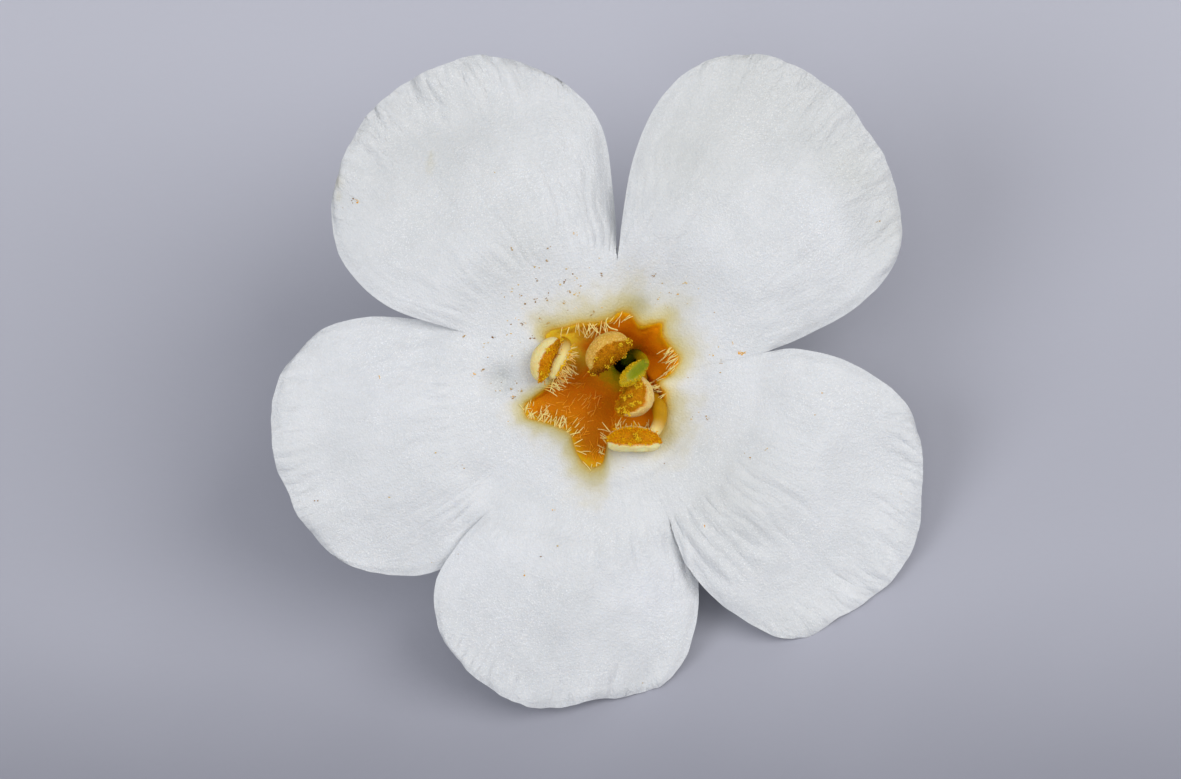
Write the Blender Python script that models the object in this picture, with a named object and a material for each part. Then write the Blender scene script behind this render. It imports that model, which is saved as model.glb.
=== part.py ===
"""Bacopa flower (Sutera / Chaenostoma), picked and laid down on a surface.

The flower is drawn in its own frame, in millimetres: X to the right and Y up across its face, Z out of the
face. Bearings are in degrees, counter-clockwise from +X. An empty then leans the whole flower back until it
rests on the tips of two petals and on its stalk, with Z = 0 as the surface that it lies on.
"""

import math

import bmesh
import bpy
import numpy as np
from mathutils import Matrix, Vector

MM = 0.001

# Resting pose: the face leans back, is spun in its own plane, and its centre stands this high. The three
# lowest places dip a little under the surface and are cut flat there.
LEAN_DEG = 34.7
SPIN_DEG = -24.3
FACE_HEIGHT = 6.29
GROUND_SIZE = 60.0

# Petals: each outline runs counter-clockwise as (bearing, reach), from the notch on its clockwise side, past
# the shoulder (point 3), the tip (point 5) and the other shoulder (point 7), to the next notch.
# lap is which side lies over (+) or under (-) the neighbour: (clockwise side, counter-clockwise side).
# rise lifts the middle of the petal, droop lowers its tip, waves is the count of waves along the margin.
PETALS = {
    "top_right": {
        "outline": [(11.4, 5.26), (13.8, 6.9), (18, 9.15), (25, 10.95), (37, 12.0), (50, 12.5),
                    (61, 12.45), (70.5, 11.7), (78, 10.15), (82.8, 7.7), (84.6, 4.2)],
        "lap": (-1, 1), "rise": 0.55, "droop": 0.25, "waves": 4.0, "phase": 0.3,
    },
    "top_left": {
        "outline": [(84.6, 4.2), (87.3, 6.2), (91, 8.8), (99, 10.45), (110, 11.8), (122, 12.15),
                    (134, 11.95), (145, 11.1), (154, 9.9), (160, 7.8), (159.5, 5.0)],
        "lap": (-1, 1), "rise": 0.45, "droop": 0.45, "waves": 4.5, "phase": 1.9,
    },
    "left": {
        "outline": [(159.5, 5.0), (160.8, 6.7), (165.3, 8.75), (172, 10.15), (182, 11.15), (193, 11.33),
                    (204, 11.12), (214, 10.6), (224, 9.25), (230.5, 7.5), (227.4, 5.7)],
        "lap": (-1, -1), "rise": 0.6, "droop": 0.55, "waves": 3.5, "phase": 4.0,
    },
    "bottom": {
        "outline": [(227.4, 5.7), (227.2, 7.2), (230, 8.9), (238, 10.1), (248, 10.85), (258, 11.07),
                    (269, 10.56), (280, 10.3), (288.5, 9.15), (296.5, 6.9), (295.5, 4.82)],
        "lap": (1, -1), "rise": 0.5, "droop": 0.2, "waves": 3.5, "phase": 5.2,
    },
    "right": {
        "outline": [(295.5, 4.82), (294.6, 6.8), (299.5, 8.8), (306.5, 10.6), (318, 11.25), (330, 11.75),
                    (343, 11.15), (355, 10.3), (364, 8.55), (370.5, 6.6), (371.4, 5.26)],
        "lap": (1, 1), "rise": 0.45, "droop": 0.3, "waves": 4.5, "phase": 2.6,
    },
}
SHOULDERS = (3, 7)
BLADE = 0.62  # thickness
BLADE_ROOT = 3.25  # reach at which a blade begins, inside the throat's wall
LAP_ROOT = 0.1  # how far a side lies above or below its neighbour, at the root and further out
LAP_TIP = 0.42
LAP_FULL = 0.5  # share of the petal's length by which the lap is full
LAP_WIDTH = 0.42  # share of the petal's width that a lap takes
RISE_SKEW = 0.8
ROOT_DIP = 0.35  # the face sinks towards the throat
DIP_SHARE = 0.27
WAVE = 0.17  # height of the waves in the margin, and the share and pitch of those along the sides
SIDE_WAVE = 0.5
SIDE_PITCH = 11.0
ACROSS = 20
NOTCH_ROWS = 3
SIDE_ROWS = 7
OUTLINE_STEPS = 12

# Throat and tube: the mouth is an uneven star as (bearing, reach), drawn in where a ridge carries an anther.
# The tube leans away under the face, from BEND_DEPTH down.
AROUND = 60
MOUTH = [(0, 1.95), (18, 2.6), (46, 2.8), (68, 2.4), (82, 2.42), (97, 2.16), (115, 2.28), (136, 2.55),
         (154, 1.6), (178, 1.95), (198, 2.8), (228, 2.04), (258, 2.78), (276, 1.9), (295, 1.5),
         (320, 2.35), (336, 2.3)]
TUBE_LEAN = Vector((0.24, 0.28, -1.0))
BEND_DEPTH = 0.4
TUBE_DEPTH = 5.6
TUBE_IN = 0.8
TUBE_OUT = 1.4
WEB = 0.1
# Rings of the wall as (share of the mouth's reach, plain reach, depth): down its inside, then up its outside.
INSIDE = [(0, 3.9, -0.12), (0, 3.3, -0.14), (1, 0.3, -0.06), (1, 0.0, 0.35), (0.75, 0.1, 0.95),
          (0.4, 0.5, 1.8), (0, 1.0, 2.9), (0, TUBE_IN, 4.0), (0, TUBE_IN, TUBE_DEPTH)]
OUTSIDE = [(0, TUBE_OUT, TUBE_DEPTH), (0, TUBE_OUT, 4.0), (0, 1.62, 3.1), (0.4, 1.15, 2.3),
           (0.75, 0.75, 1.6), (1, 0.55, 1.0), (0, 3.6, 0.52), (0, 4.0, 0.12)]

# Stamens: each anther is a bean across the end of its filament, turned about its length so that the side that
# opens faces the middle of the flower. route is the filament's way up from the throat's wall.
ANTHERS = {
    "left": {"at": (-1.98, 0.88, 0.62), "bearing": 65, "turn": -35, "size": (1.57, 0.74, 0.8),
             "route": [(-0.95, 0.7, -0.65), (-1.18, 0.7, -0.1), (-1.5, 0.76, 0.3)]},
    "top": {"at": (0.07, 1.1, 0.6), "bearing": 40, "turn": -40, "size": (1.62, 1.0, 0.86),
            "route": [(0.35, 1.65, -1.2), (0.25, 1.55, -0.6), (0.12, 1.3, 0.04)]},
    "right": {"at": (0.96, -0.38, 0.3), "bearing": 70, "turn": 40, "size": (1.46, 1.12, 0.86),
              "route": [(1.28, 0.35, -1.65), (1.22, 0.1, -0.9), (1.08, -0.25, -0.26)]},
    "bottom": {"at": (0.96, -1.86, 0.6), "bearing": 1, "turn": -30, "size": (1.72, 0.84, 0.8),
               "route": [(1.5, -0.38, -0.75), (1.78, -0.75, -0.1), (1.78, -1.12, 0.18), (1.62, -1.36, 0.3)]},
}
FILAMENT = 0.2
FILAMENT_TAPER = 0.8
ANTHER_RINGS = 12
ANTHER_SIDES = 14
ANTHER_BLUNT = 0.8  # under 1 gives the bean blunter ends
ANTHER_BEND = 0.22  # share of its half width
FURROW = 0.26
FURROW_WIDTH = 0.35

# Pistil: ovary at the foot of the tube, style up through it, stigma bent over to the lower left.
OVARY_FOOT = 0.05  # above the foot of the tube
OVARY_WIDE = 0.5
OVARY_LONG = 1.5
OVARY_STEPS = 7
STYLE = 0.17
STYLE_ALONG = 3.0
STYLE_BEND = Vector((1.35, 1.0, -1.0))
STIGMA_ROOT = Vector((1.42, 0.78, 0.55))
STIGMA_TIP = Vector((0.5, -0.02, 1.25))
STIGMA = 0.31
STIGMA_ARCH = 0.22
STIGMA_PROFILE = (0.66, 0.8, 0.92, 1.0, 1.0, 0.86, 0.5)

# Calyx: a cup with five lobes that follow the tube, GAP clear of it.
GAP = 0.14
CALYX_WALL = 0.6
CUP_HEIGHT = 1.3
LOBE_HEIGHT = 3.1
LOBES = 5
LOBE_HOLLOW = 1.25  # over 1 draws the sides of a lobe in towards its point
CUP_FOOT = 0.75
CALYX_AROUND = 40
CALYX_ROWS = 10

# Stalk: from under the calyx, bending over to lie along the surface.
STALK_DROP = 1.08  # from the foot of the tube down its axis to the top of the stalk
STALK_TOP = 0.42
STALK_END = 0.37
STALK_ROUTE = [
    (1.38, 2.0, -7.45),
    (0.65, 2.7, -8.5),
    (-0.5, 4.0, -9.92),
    (-1.75, 5.6, -11.3),
    (-2.9, 7.0, -12.51),
]


def clear_scene():
    """Remove everything that the scene holds."""
    for obj in list(bpy.data.objects):
        bpy.data.objects.remove(obj, do_unlink=True)


def principled(name, colour, roughness):
    """A plain Principled material."""
    material = bpy.data.materials.new(name)
    material.use_nodes = True
    shader = material.node_tree.nodes["Principled BSDF"]
    shader.inputs["Base Color"].default_value = (*colour, 1.0)
    shader.inputs["Roughness"].default_value = roughness
    return material


def polar(bearing, reach):
    """Point on the face from its bearing in degrees and its distance from the centre."""
    turn = math.radians(bearing)
    return np.array([reach * math.cos(turn), reach * math.sin(turn)])


def spline(points, per_span):
    """Smooth curve through the points, with per_span steps from one to the next."""
    points = [np.asarray(p, float) for p in points]
    ends = [2 * points[0] - points[1]] + points + [2 * points[-1] - points[-2]]
    curve = []
    for a, b, c, d in zip(ends, ends[1:], ends[2:], ends[3:]):
        for step in range(per_span):
            t = step / per_span
            curve.append(
                0.5 * (2 * b + (c - a) * t + (2 * a - 5 * b + 4 * c - d) * t**2 + (3 * b - a - 3 * c + d) * t**3)
            )
    curve.append(points[-1])
    return np.array(curve)


MOUTH_CURVE = spline([(b + turn, r) for turn in (-360, 0, 360) for b, r in MOUTH], 6)


def spaced(curve, count):
    """count + 1 points evenly along a curve."""
    steps = np.linalg.norm(np.diff(curve, axis=0), axis=1)
    along = np.concatenate([[0], np.cumsum(steps)])
    wanted = np.linspace(0, along[-1], count + 1)
    return np.column_stack([np.interp(wanted, along, curve[:, k]) for k in range(curve.shape[1])])


def smooth(x):
    """0 to 1 with level ends."""
    x = np.clip(x, 0, 1)
    return x * x * (3 - 2 * x)


def mesh_object(name, points, faces, material):
    """Mesh object in metres from points in millimetres."""
    mesh = bpy.data.meshes.new(name)
    mesh.from_pydata([tuple(float(c) * MM for c in p) for p in points], [], faces)
    obj = bpy.data.objects.new(name, mesh)
    bpy.context.scene.collection.objects.link(obj)
    obj.data.materials.append(material)
    work = bmesh.new()
    work.from_mesh(mesh)
    bmesh.ops.recalc_face_normals(work, faces=work.faces)
    work.to_mesh(mesh)
    work.free()
    mesh.shade_smooth()
    return obj


def blade_height(petal, s, t):
    """Height of the middle of a petal's thickness: s runs across it and t from its root to its margin."""
    clockwise, counter = petal["lap"]
    lap = LAP_ROOT + (LAP_TIP - LAP_ROOT) * smooth(t / LAP_FULL)
    height = lap * (clockwise * (1 - smooth(s / LAP_WIDTH)) + counter * smooth(1 - (1 - s) / LAP_WIDTH))
    height += petal["rise"] * math.sin(math.pi * t**RISE_SKEW) ** 2 * (1 - (2 * s - 1) ** 2)
    height -= petal["droop"] * t**3 + ROOT_DIP * (1 - smooth(t / DIP_SHARE))
    near_margin = t**5
    near_side = abs(2 * s - 1) ** 5 * smooth(t / DIP_SHARE - 1) * (1 - near_margin)
    height += WAVE * near_margin * math.sin(2 * math.pi * petal["waves"] * s + petal["phase"])
    height += SIDE_WAVE * WAVE * near_side * math.sin(SIDE_PITCH * t + petal["phase"])
    return height


def petal_grid(petal):
    """Rows of points from the root of a petal to its margin: a patch between its two sides and its margin."""
    curve = spline([polar(*p) for p in petal["outline"]], OUTLINE_STEPS)
    first, last = (index * OUTLINE_STEPS for index in SHOULDERS)
    start, end = petal["outline"][0][0], petal["outline"][-1][0]
    rows = NOTCH_ROWS + SIDE_ROWS

    def side(bearing, free_edge):
        root = spaced(np.array([polar(bearing, BLADE_ROOT), free_edge[0]]), NOTCH_ROWS)
        return np.vstack([root, spaced(free_edge, SIDE_ROWS)[1:]])

    left = side(start, curve[: first + 1])
    right = side(end, curve[last:][::-1])
    margin = spaced(curve[first : last + 1], ACROSS)
    grid = np.zeros((rows + 1, ACROSS + 1, 3))
    for row in range(rows + 1):
        t = row / rows
        for column in range(ACROSS + 1):
            s = column / ACROSS
            root = polar(start + (end - start) * s, BLADE_ROOT)
            flat = (1 - t) * root + t * margin[column] + (1 - s) * left[row] + s * right[row]
            flat -= (1 - t) * ((1 - s) * left[0] + s * right[0]) + t * ((1 - s) * left[-1] + s * right[-1])
            grid[row, column] = (*flat, blade_height(petal, s, t))
    return grid


def blade(name, petal, material):
    """Closed blade of even thickness, with both faces split into triangles alike."""
    grid = petal_grid(petal)
    rows, columns, _ = grid.shape
    half = np.array([0, 0, BLADE / 2])
    points = np.vstack([(grid + half).reshape(-1, 3), (grid - half).reshape(-1, 3)])
    under = rows * columns
    faces = []
    for row in range(rows - 1):
        for column in range(columns - 1):
            a = row * columns + column
            b, c, d = a + 1, a + columns + 1, a + columns
            if column < columns // 2:
                halves = [(a, b, d), (b, c, d)]
            else:
                halves = [(a, b, c), (a, c, d)]
            for face in halves:
                faces.append(face)
                faces.append(tuple(under + i for i in reversed(face)))
    rim = list(range(columns))
    rim += [row * columns + columns - 1 for row in range(1, rows)]
    rim += [(rows - 1) * columns + column for column in range(columns - 2, -1, -1)]
    rim += [row * columns for row in range(rows - 2, 0, -1)]
    for here, ahead in zip(rim, rim[1:] + rim[:1]):
        faces.append((here, under + here, under + ahead, ahead))
    return mesh_object(name, points, faces, material)


def tube_centre(depth):
    """Centre of the throat or tube at a depth under the face."""
    return TUBE_LEAN.xy * max(0.0, depth - BEND_DEPTH)


def notch_reach(bearing):
    """Reach of the web between petals, which passes through every notch."""
    notches = [petal["outline"][0] for petal in PETALS.values()]
    notches = sorted((b % 360, r) for b, r in notches)
    notches = [(notches[-1][0] - 360, notches[-1][1])] + notches + [(notches[0][0] + 360, notches[0][1])]
    for (b0, r0), (b1, r1) in zip(notches, notches[1:]):
        if b0 <= bearing < b1:
            return r0 + (r1 - r0) * float(smooth((bearing - b0) / (b1 - b0)))
    return notches[0][1]


def mouth_reach(bearing):
    """Reach of the throat's mouth."""
    return float(np.interp(bearing % 360, MOUTH_CURVE[:, 0], MOUTH_CURVE[:, 1]))


def throat_ring(bearing, level):
    """Point on one ring of the throat's wall. level is (star share, plain reach, depth)."""
    share, reach, depth = level
    centre = tube_centre(depth)
    out = polar(bearing, share * mouth_reach(bearing) + reach)
    return (out[0] + centre[0], out[1] + centre[1], -depth)


def throat(material):
    """Funnel and tube as one wall: down its inside and up its outside, out to the web between the petals."""
    points, faces = [], []
    for step in range(AROUND):
        bearing = 360 * step / AROUND
        web = polar(bearing, notch_reach(bearing))
        column = [(*web, WEB)]
        column += [throat_ring(bearing, level) for level in INSIDE + OUTSIDE]
        column.append((*web, -WEB))
        points += column
    long = len(INSIDE) + len(OUTSIDE) + 2
    for step in range(AROUND):
        here, ahead = step * long, (step + 1) % AROUND * long
        for k in range(long):
            k1 = (k + 1) % long
            faces.append((here + k, here + k1, ahead + k1, ahead + k))
    return mesh_object("throat", points, faces, material)


def join(target, others):
    """Fuse the others into the target with one Boolean union, and remove them."""
    group = bpy.data.collections.new("fused")
    bpy.context.scene.collection.children.link(group)
    for obj in others:
        bpy.context.scene.collection.objects.unlink(obj)
        group.objects.link(obj)
    union = target.modifiers.new("fuse", "BOOLEAN")
    union.operation = "UNION"
    union.operand_type = "COLLECTION"
    union.collection = group
    union.solver = "EXACT"
    bpy.context.view_layer.update()
    graph = bpy.context.evaluated_depsgraph_get()
    fused = bpy.data.meshes.new_from_object(target.evaluated_get(graph))
    target.modifiers.clear()
    target.data = fused
    for obj in others:
        bpy.data.objects.remove(obj, do_unlink=True)
    bpy.data.collections.remove(group)


def corolla(material):
    """Five petals fused to the throat and tube that they grow from."""
    body = throat(material)
    petals = [blade("petal_" + name, petal, material) for name, petal in PETALS.items()]
    join(body, petals)
    body.name = body.data.name = "corolla"
    return body


def swept(name, route, radii, sides, material):
    """Round piece along a route, with its own radius at each point and a flat at each end."""
    route = [Vector(p) for p in route]
    points, faces = [], []
    side = None
    for k, here in enumerate(route):
        ahead = (route[min(k + 1, len(route) - 1)] - route[max(k - 1, 0)]).normalized()
        side = ahead.orthogonal().normalized() if side is None else (side - ahead * side.dot(ahead)).normalized()
        other = ahead.cross(side)
        for step in range(sides):
            turn = 2 * math.pi * step / sides
            points.append(here + float(radii[k]) * (side * math.cos(turn) + other * math.sin(turn)))
    for k in range(len(route) - 1):
        for step in range(sides):
            a, b = k * sides + step, k * sides + (step + 1) % sides
            faces.append((a, b, b + sides, a + sides))
    faces.append(tuple(reversed(range(sides))))
    faces.append(tuple(range((len(route) - 1) * sides, len(route) * sides)))
    return mesh_object(name, points, faces, material)


def filament(name, stamen, material):
    """Filament from the throat's wall to the anther that it carries."""
    route = spline(stamen["route"], 5)
    radii = np.linspace(FILAMENT, FILAMENT_TAPER * FILAMENT, len(route))
    return swept("filament_" + name, route, radii, 8, material)


def anther(name, stamen, material):
    """Bean-shaped anther with the furrow where it opens, along its upper side."""
    long, wide, deep = (size / 2 for size in stamen["size"])
    rings, sides = ANTHER_RINGS, ANTHER_SIDES
    points, faces = [], []
    for ring in range(1, rings):
        turn = math.pi * ring / rings
        x = -long * math.cos(turn)
        full = math.sin(turn) ** ANTHER_BLUNT
        bend = ANTHER_BEND * wide * math.cos(math.pi * x / long)
        for step in range(sides):
            around = 2 * math.pi * step / sides
            from_top = (around - math.pi / 2) / FURROW_WIDTH
            skin = full * (1 - FURROW * math.exp(-(from_top**2)) * math.sin(turn))
            points.append((x, wide * skin * math.cos(around) + bend, deep * skin * math.sin(around)))
    for ring in range(rings - 2):
        for step in range(sides):
            a, b = ring * sides + step, ring * sides + (step + 1) % sides
            faces.append((a, b, b + sides, a + sides))
    points += [(-long, -ANTHER_BEND * wide, 0), (long, -ANTHER_BEND * wide, 0)]
    low, high = len(points) - 2, len(points) - 1
    last = (rings - 2) * sides
    for step in range(sides):
        faces.append((low, (step + 1) % sides, step))
        faces.append((high, last + step, last + (step + 1) % sides))
    place = Matrix.Translation(stamen["at"]) @ Matrix.Rotation(math.radians(stamen["bearing"]), 4, "Z")
    place @= Matrix.Rotation(math.radians(stamen["turn"]), 4, "X")
    return mesh_object("anther_" + name, [place @ Vector(p) for p in points], faces, material)


def axis_point(along):
    """Point on the tube's axis, measured from the foot of the tube towards the mouth."""
    foot = Vector((*tube_centre(TUBE_DEPTH), -TUBE_DEPTH))
    return foot - TUBE_LEAN.normalized() * along


def pistil(material):
    """Ovary, style and stigma, grown as one."""
    route, radii = [], []
    for k in range(OVARY_STEPS + 1):
        share = k / OVARY_STEPS
        route.append(axis_point(OVARY_FOOT + OVARY_LONG * share))
        radii.append(STYLE + (OVARY_WIDE - STYLE) * math.sin(math.pi * (0.2 + 0.8 * share)))
    style = spline([tuple(p) for p in (route[-1], axis_point(STYLE_ALONG), STYLE_BEND, STIGMA_ROOT)], 5)[1:]
    route += [Vector(p) for p in style]
    radii += [STYLE] * len(style)
    for k, share_of_width in enumerate(STIGMA_PROFILE, start=1):
        share = k / len(STIGMA_PROFILE)
        arch = Vector((0, 0, STIGMA_ARCH * math.sin(math.pi * share)))
        route.append(STIGMA_ROOT.lerp(STIGMA_TIP, share) + arch)
        radii.append(STIGMA * share_of_width)
    return swept("pistil", route, radii, 10, material)


def tube_reach(bearing, depth):
    """Reach of the outside of the tube and funnel from its centre at a depth."""
    depths = [level[2] for level in reversed(OUTSIDE)]
    reaches = [level[0] * mouth_reach(bearing) + level[1] for level in reversed(OUTSIDE)]
    return float(np.interp(depth, depths, reaches))


def calyx(material):
    """Green cup with a closed floor and five narrow lobes, round the foot of the tube."""
    floor_depth = TUBE_DEPTH + GAP
    points, faces = [], []
    for step in range(CALYX_AROUND):
        bearing = 360 * step / CALYX_AROUND
        share = 1 - abs((step * LOBES / CALYX_AROUND) % 1 * 2 - 1)
        top = TUBE_DEPTH - CUP_HEIGHT - (LOBE_HEIGHT - CUP_HEIGHT) * share**LOBE_HOLLOW
        climb = [(tube_reach(bearing, depth) + GAP, depth) for depth in np.linspace(floor_depth, top, CALYX_ROWS)]
        column = climb + [(reach + CALYX_WALL, depth) for reach, depth in reversed(climb)]
        column.append((CUP_FOOT * (TUBE_OUT + CALYX_WALL), floor_depth + CALYX_WALL))
        for reach, depth in column:
            centre, out = tube_centre(depth), polar(bearing, reach)
            points.append((centre[0] + out[0], centre[1] + out[1], -depth))
    long = 2 * CALYX_ROWS + 1
    for step in range(CALYX_AROUND):
        here, ahead = step * long, (step + 1) % CALYX_AROUND * long
        for k in range(long - 1):
            faces.append((here + k, here + k + 1, ahead + k + 1, ahead + k))
    faces.append(tuple(step * long for step in range(CALYX_AROUND)))
    faces.append(tuple(step * long + long - 1 for step in reversed(range(CALYX_AROUND))))
    return mesh_object("calyx", points, faces, material)


def pedicel(material):
    """Stalk from under the calyx, curving down to lie on the surface."""
    route = spline([tuple(axis_point(-STALK_DROP))] + STALK_ROUTE, 6)
    radii = np.linspace(STALK_TOP, STALK_END, len(route))
    return swept("pedicel", route, radii, 12, material)


def lay_down(pieces):
    """Lean the flower back, cut the small flats that it rests on, and centre it over the origin."""
    pose = bpy.data.objects.new("resting_pose", None)
    bpy.context.scene.collection.objects.link(pose)
    turned = Matrix.Rotation(math.radians(LEAN_DEG), 4, "X") @ Matrix.Rotation(math.radians(SPIN_DEG), 4, "Z")
    pose.rotation_euler = turned.to_euler()
    pose.location = (0, 0, FACE_HEIGHT * MM)
    for piece in pieces:
        piece.parent = pose
    bpy.context.view_layer.update()
    corners = np.array([piece.matrix_world @ v.co for piece in pieces for v in piece.data.vertices])
    middle = (corners.min(axis=0) + corners.max(axis=0)) / 2
    pose.location -= Vector((middle[0], middle[1], 0))

    bpy.ops.mesh.primitive_cube_add(size=GROUND_SIZE * MM, location=(0, 0, -GROUND_SIZE / 2 * MM))
    ground = bpy.context.object
    ground.name = "ground_cutter"
    ground.hide_render = True
    ground.display_type = "WIRE"
    for piece in pieces:
        if piece.name in ("corolla", "pedicel"):
            cut = piece.modifiers.new("resting_flat", "BOOLEAN")
            cut.operation = "DIFFERENCE"
            cut.object = ground


def build():
    """The whole flower, each piece with its own material."""
    clear_scene()
    white = principled("petal_white", (0.80, 0.81, 0.82), 0.6)
    cream = principled("filament_cream", (0.80, 0.66, 0.36), 0.55)
    orange = principled("anther_orange", (0.68, 0.36, 0.06), 0.7)
    lime = principled("pistil_lime", (0.50, 0.55, 0.08), 0.5)
    green = principled("calyx_green", (0.16, 0.27, 0.07), 0.6)
    stalk = principled("pedicel_green", (0.22, 0.33, 0.10), 0.6)

    pieces = [corolla(white), pistil(lime), calyx(green), pedicel(stalk)]
    for name, stamen in ANTHERS.items():
        pieces += [filament(name, stamen, cream), anther(name, stamen, orange)]

    lay_down(pieces)


build()
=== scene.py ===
import math
import random

import bmesh
import bpy
import numpy as np
from mathutils import Matrix, Vector, noise


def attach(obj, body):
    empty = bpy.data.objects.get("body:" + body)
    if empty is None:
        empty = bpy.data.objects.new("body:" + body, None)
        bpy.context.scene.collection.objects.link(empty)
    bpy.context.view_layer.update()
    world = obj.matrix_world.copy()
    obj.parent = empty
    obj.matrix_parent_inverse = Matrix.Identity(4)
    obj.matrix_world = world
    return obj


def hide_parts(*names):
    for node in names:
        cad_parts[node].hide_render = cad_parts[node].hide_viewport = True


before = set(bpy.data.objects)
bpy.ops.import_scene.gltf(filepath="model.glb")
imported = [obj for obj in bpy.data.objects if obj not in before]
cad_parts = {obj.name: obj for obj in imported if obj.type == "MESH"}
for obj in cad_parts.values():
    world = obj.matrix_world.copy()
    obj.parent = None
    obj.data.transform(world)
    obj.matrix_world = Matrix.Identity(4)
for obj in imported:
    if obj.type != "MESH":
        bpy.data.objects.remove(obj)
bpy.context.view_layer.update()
mm = 0.001

# how the flower lies: leaned back, turned in its own plane, and where the middle of its face is, in mm
lying = {"leanDeg": 34.7, "spinDeg": -24.3, "middle": (-0.25369, -2.30691, 6.29)}
faceTurn = Matrix.Rotation(math.radians(lying["leanDeg"]), 4, "X")
faceTurn @= Matrix.Rotation(math.radians(lying["spinDeg"]), 4, "Z")
flowerPlace = Matrix.Translation(Vector(lying["middle"]) * mm) @ faceTurn


# small tools for shapes; every shape is drawn in mm, in the flower's own frame

def polar(bearing, reach):
    turn = np.radians(bearing)
    return np.stack([reach * np.cos(turn), reach * np.sin(turn)], axis=-1)


def bearingOf(flat):
    return np.degrees(np.arctan2(flat[..., 1], flat[..., 0]))


def spotAt(flat, x, y, size):
    # 1 at a place on the face, fading to 0 all round it
    return np.exp(-((flat[..., 0] - x) ** 2 + (flat[..., 1] - y) ** 2) / size**2)


def smooth(x):
    x = np.clip(x, 0, 1)
    return x * x * (3 - 2 * x)


def throughPoints(points, steps):
    # smooth curve through the points
    points = [np.asarray(p, float) for p in points]
    ends = [2 * points[0] - points[1]] + points + [2 * points[-1] - points[-2]]
    curve = []
    for a, b, c, d in zip(ends, ends[1:], ends[2:], ends[3:]):
        for t in np.arange(steps) / steps:
            bend = (2 * a - 5 * b + 4 * c - d) * t**2 + (3 * b - a - 3 * c + d) * t**3
            curve.append(0.5 * (2 * b + (c - a) * t + bend))
    return np.array(curve + [points[-1]])


def evenly(curve, count):
    # the same curve cut into equal lengths
    along = np.concatenate([[0], np.cumsum(np.linalg.norm(np.diff(curve, axis=0), axis=1))])
    wanted = np.linspace(0, along[-1], count + 1)
    return np.column_stack([np.interp(wanted, along, curve[:, k]) for k in range(curve.shape[1])])


def ripple(x, y, seed):
    # soft noise about 0 at each place
    x, y = np.broadcast_arrays(np.asarray(x, float), np.asarray(y, float))
    values = [noise.noise(Vector((a, b, seed))) for a, b in zip(x.ravel(), y.ravel())]
    return np.array(values).reshape(x.shape)


def unit(v):
    v = np.asarray(v, float)
    return v / np.linalg.norm(v)


def jitter(rng, size, count=3):
    return np.array([rng.gauss(0, size) for _ in range(count)])


def toRoom(points):
    # from the flower's own frame in mm to the place where it lies, in metres
    turned = (np.asarray(points, float) * mm) @ np.array(faceTurn.to_3x3()).T
    return turned + np.array(flowerPlace.translation)


def makePiece(name, points, faces, material, marks=None, normals=None):
    # a finished mesh that rides with the flower; marks are numbers or vectors on its points for the material
    mesh = bpy.data.meshes.new(name)
    mesh.from_pydata(toRoom(points).tolist(), [], [list(map(int, f)) for f in faces])
    mesh.validate()
    for mark, values in (marks or {}).items():
        values = np.asarray(values, np.float32)
        if values.ndim == 1:
            mesh.attributes.new(mark, "FLOAT", "POINT").data.foreach_set("value", values)
        else:
            mesh.attributes.new(mark, "FLOAT_VECTOR", "POINT").data.foreach_set("vector", values.ravel())
    mesh.shade_smooth()
    if normals is not None:
        turned = np.asarray(normals) @ np.array(faceTurn.to_3x3()).T
        mesh.normals_split_custom_set_from_vertices(turned.tolist())
    mesh.materials.append(material)
    piece = bpy.data.objects.new(name, mesh)
    bpy.context.scene.collection.objects.link(piece)
    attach(piece, "root")
    return piece


def closedFaces(rings, sides):
    # faces round rings of points, closed by one more point at each end
    faces = []
    for start in range(0, (rings - 1) * sides, sides):
        for k in range(sides):
            a, b = start + k, start + (k + 1) % sides
            faces.append((a, b, b + sides, a + sides))
    first, last, tail = rings * sides, rings * sides + 1, (rings - 1) * sides
    for k in range(sides):
        faces += [(first, (k + 1) % sides, k), (last, tail + k, tail + (k + 1) % sides)]
    return faces


def tube(route, radii, sides):
    # points and faces of a closed round piece along a route, ending in a point at each end
    route = [Vector(p) for p in route]
    points, side = [], None
    for k, here in enumerate(route):
        ahead = (route[min(k + 1, len(route) - 1)] - route[max(k - 1, 0)]).normalized()
        side = ahead.orthogonal() if side is None else side - ahead * side.dot(ahead)
        side.normalize()
        other = ahead.cross(side)
        for turn in (2 * math.pi * j / sides for j in range(sides)):
            points.append(here + float(radii[k]) * (side * math.cos(turn) + other * math.sin(turn)))
    points += [route[0] - (route[1] - route[0]).normalized() * radii[0] * 0.5,
               route[-1] + (route[-1] - route[-2]).normalized() * radii[-1] * 0.8]
    return [tuple(p) for p in points], closedFaces(len(route), sides)


class Heap:
    # gathers many small shapes into one mesh
    def __init__(self):
        self.points, self.faces, self.marks = [], [], {}

    def add(self, points, faces, **marks):
        start = len(self.points)
        self.points += list(points)
        self.faces += [tuple(start + i for i in face) for face in faces]
        for mark, values in marks.items():
            values = [values] * len(points) if np.isscalar(values) else list(values)
            self.marks.setdefault(mark, []).extend(values)


def smallBall():
    # points and faces of a ball of 20 faces and radius 1
    ball = bmesh.new()
    bmesh.ops.create_icosphere(ball, subdivisions=1, radius=1)
    points = np.array([v.co[:] for v in ball.verts])
    faces = [tuple(v.index for v in f.verts) for f in ball.faces]
    ball.free()
    return points, faces


# small tools for materials

def rgb(red, green, blue):
    # linear colour from 0 to 255 display values
    shares = [c / 255 for c in (red, green, blue)]
    return (*(s / 12.92 if s <= 0.04045 else ((s + 0.055) / 1.055) ** 2.4 for s in shares), 1.0)


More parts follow.
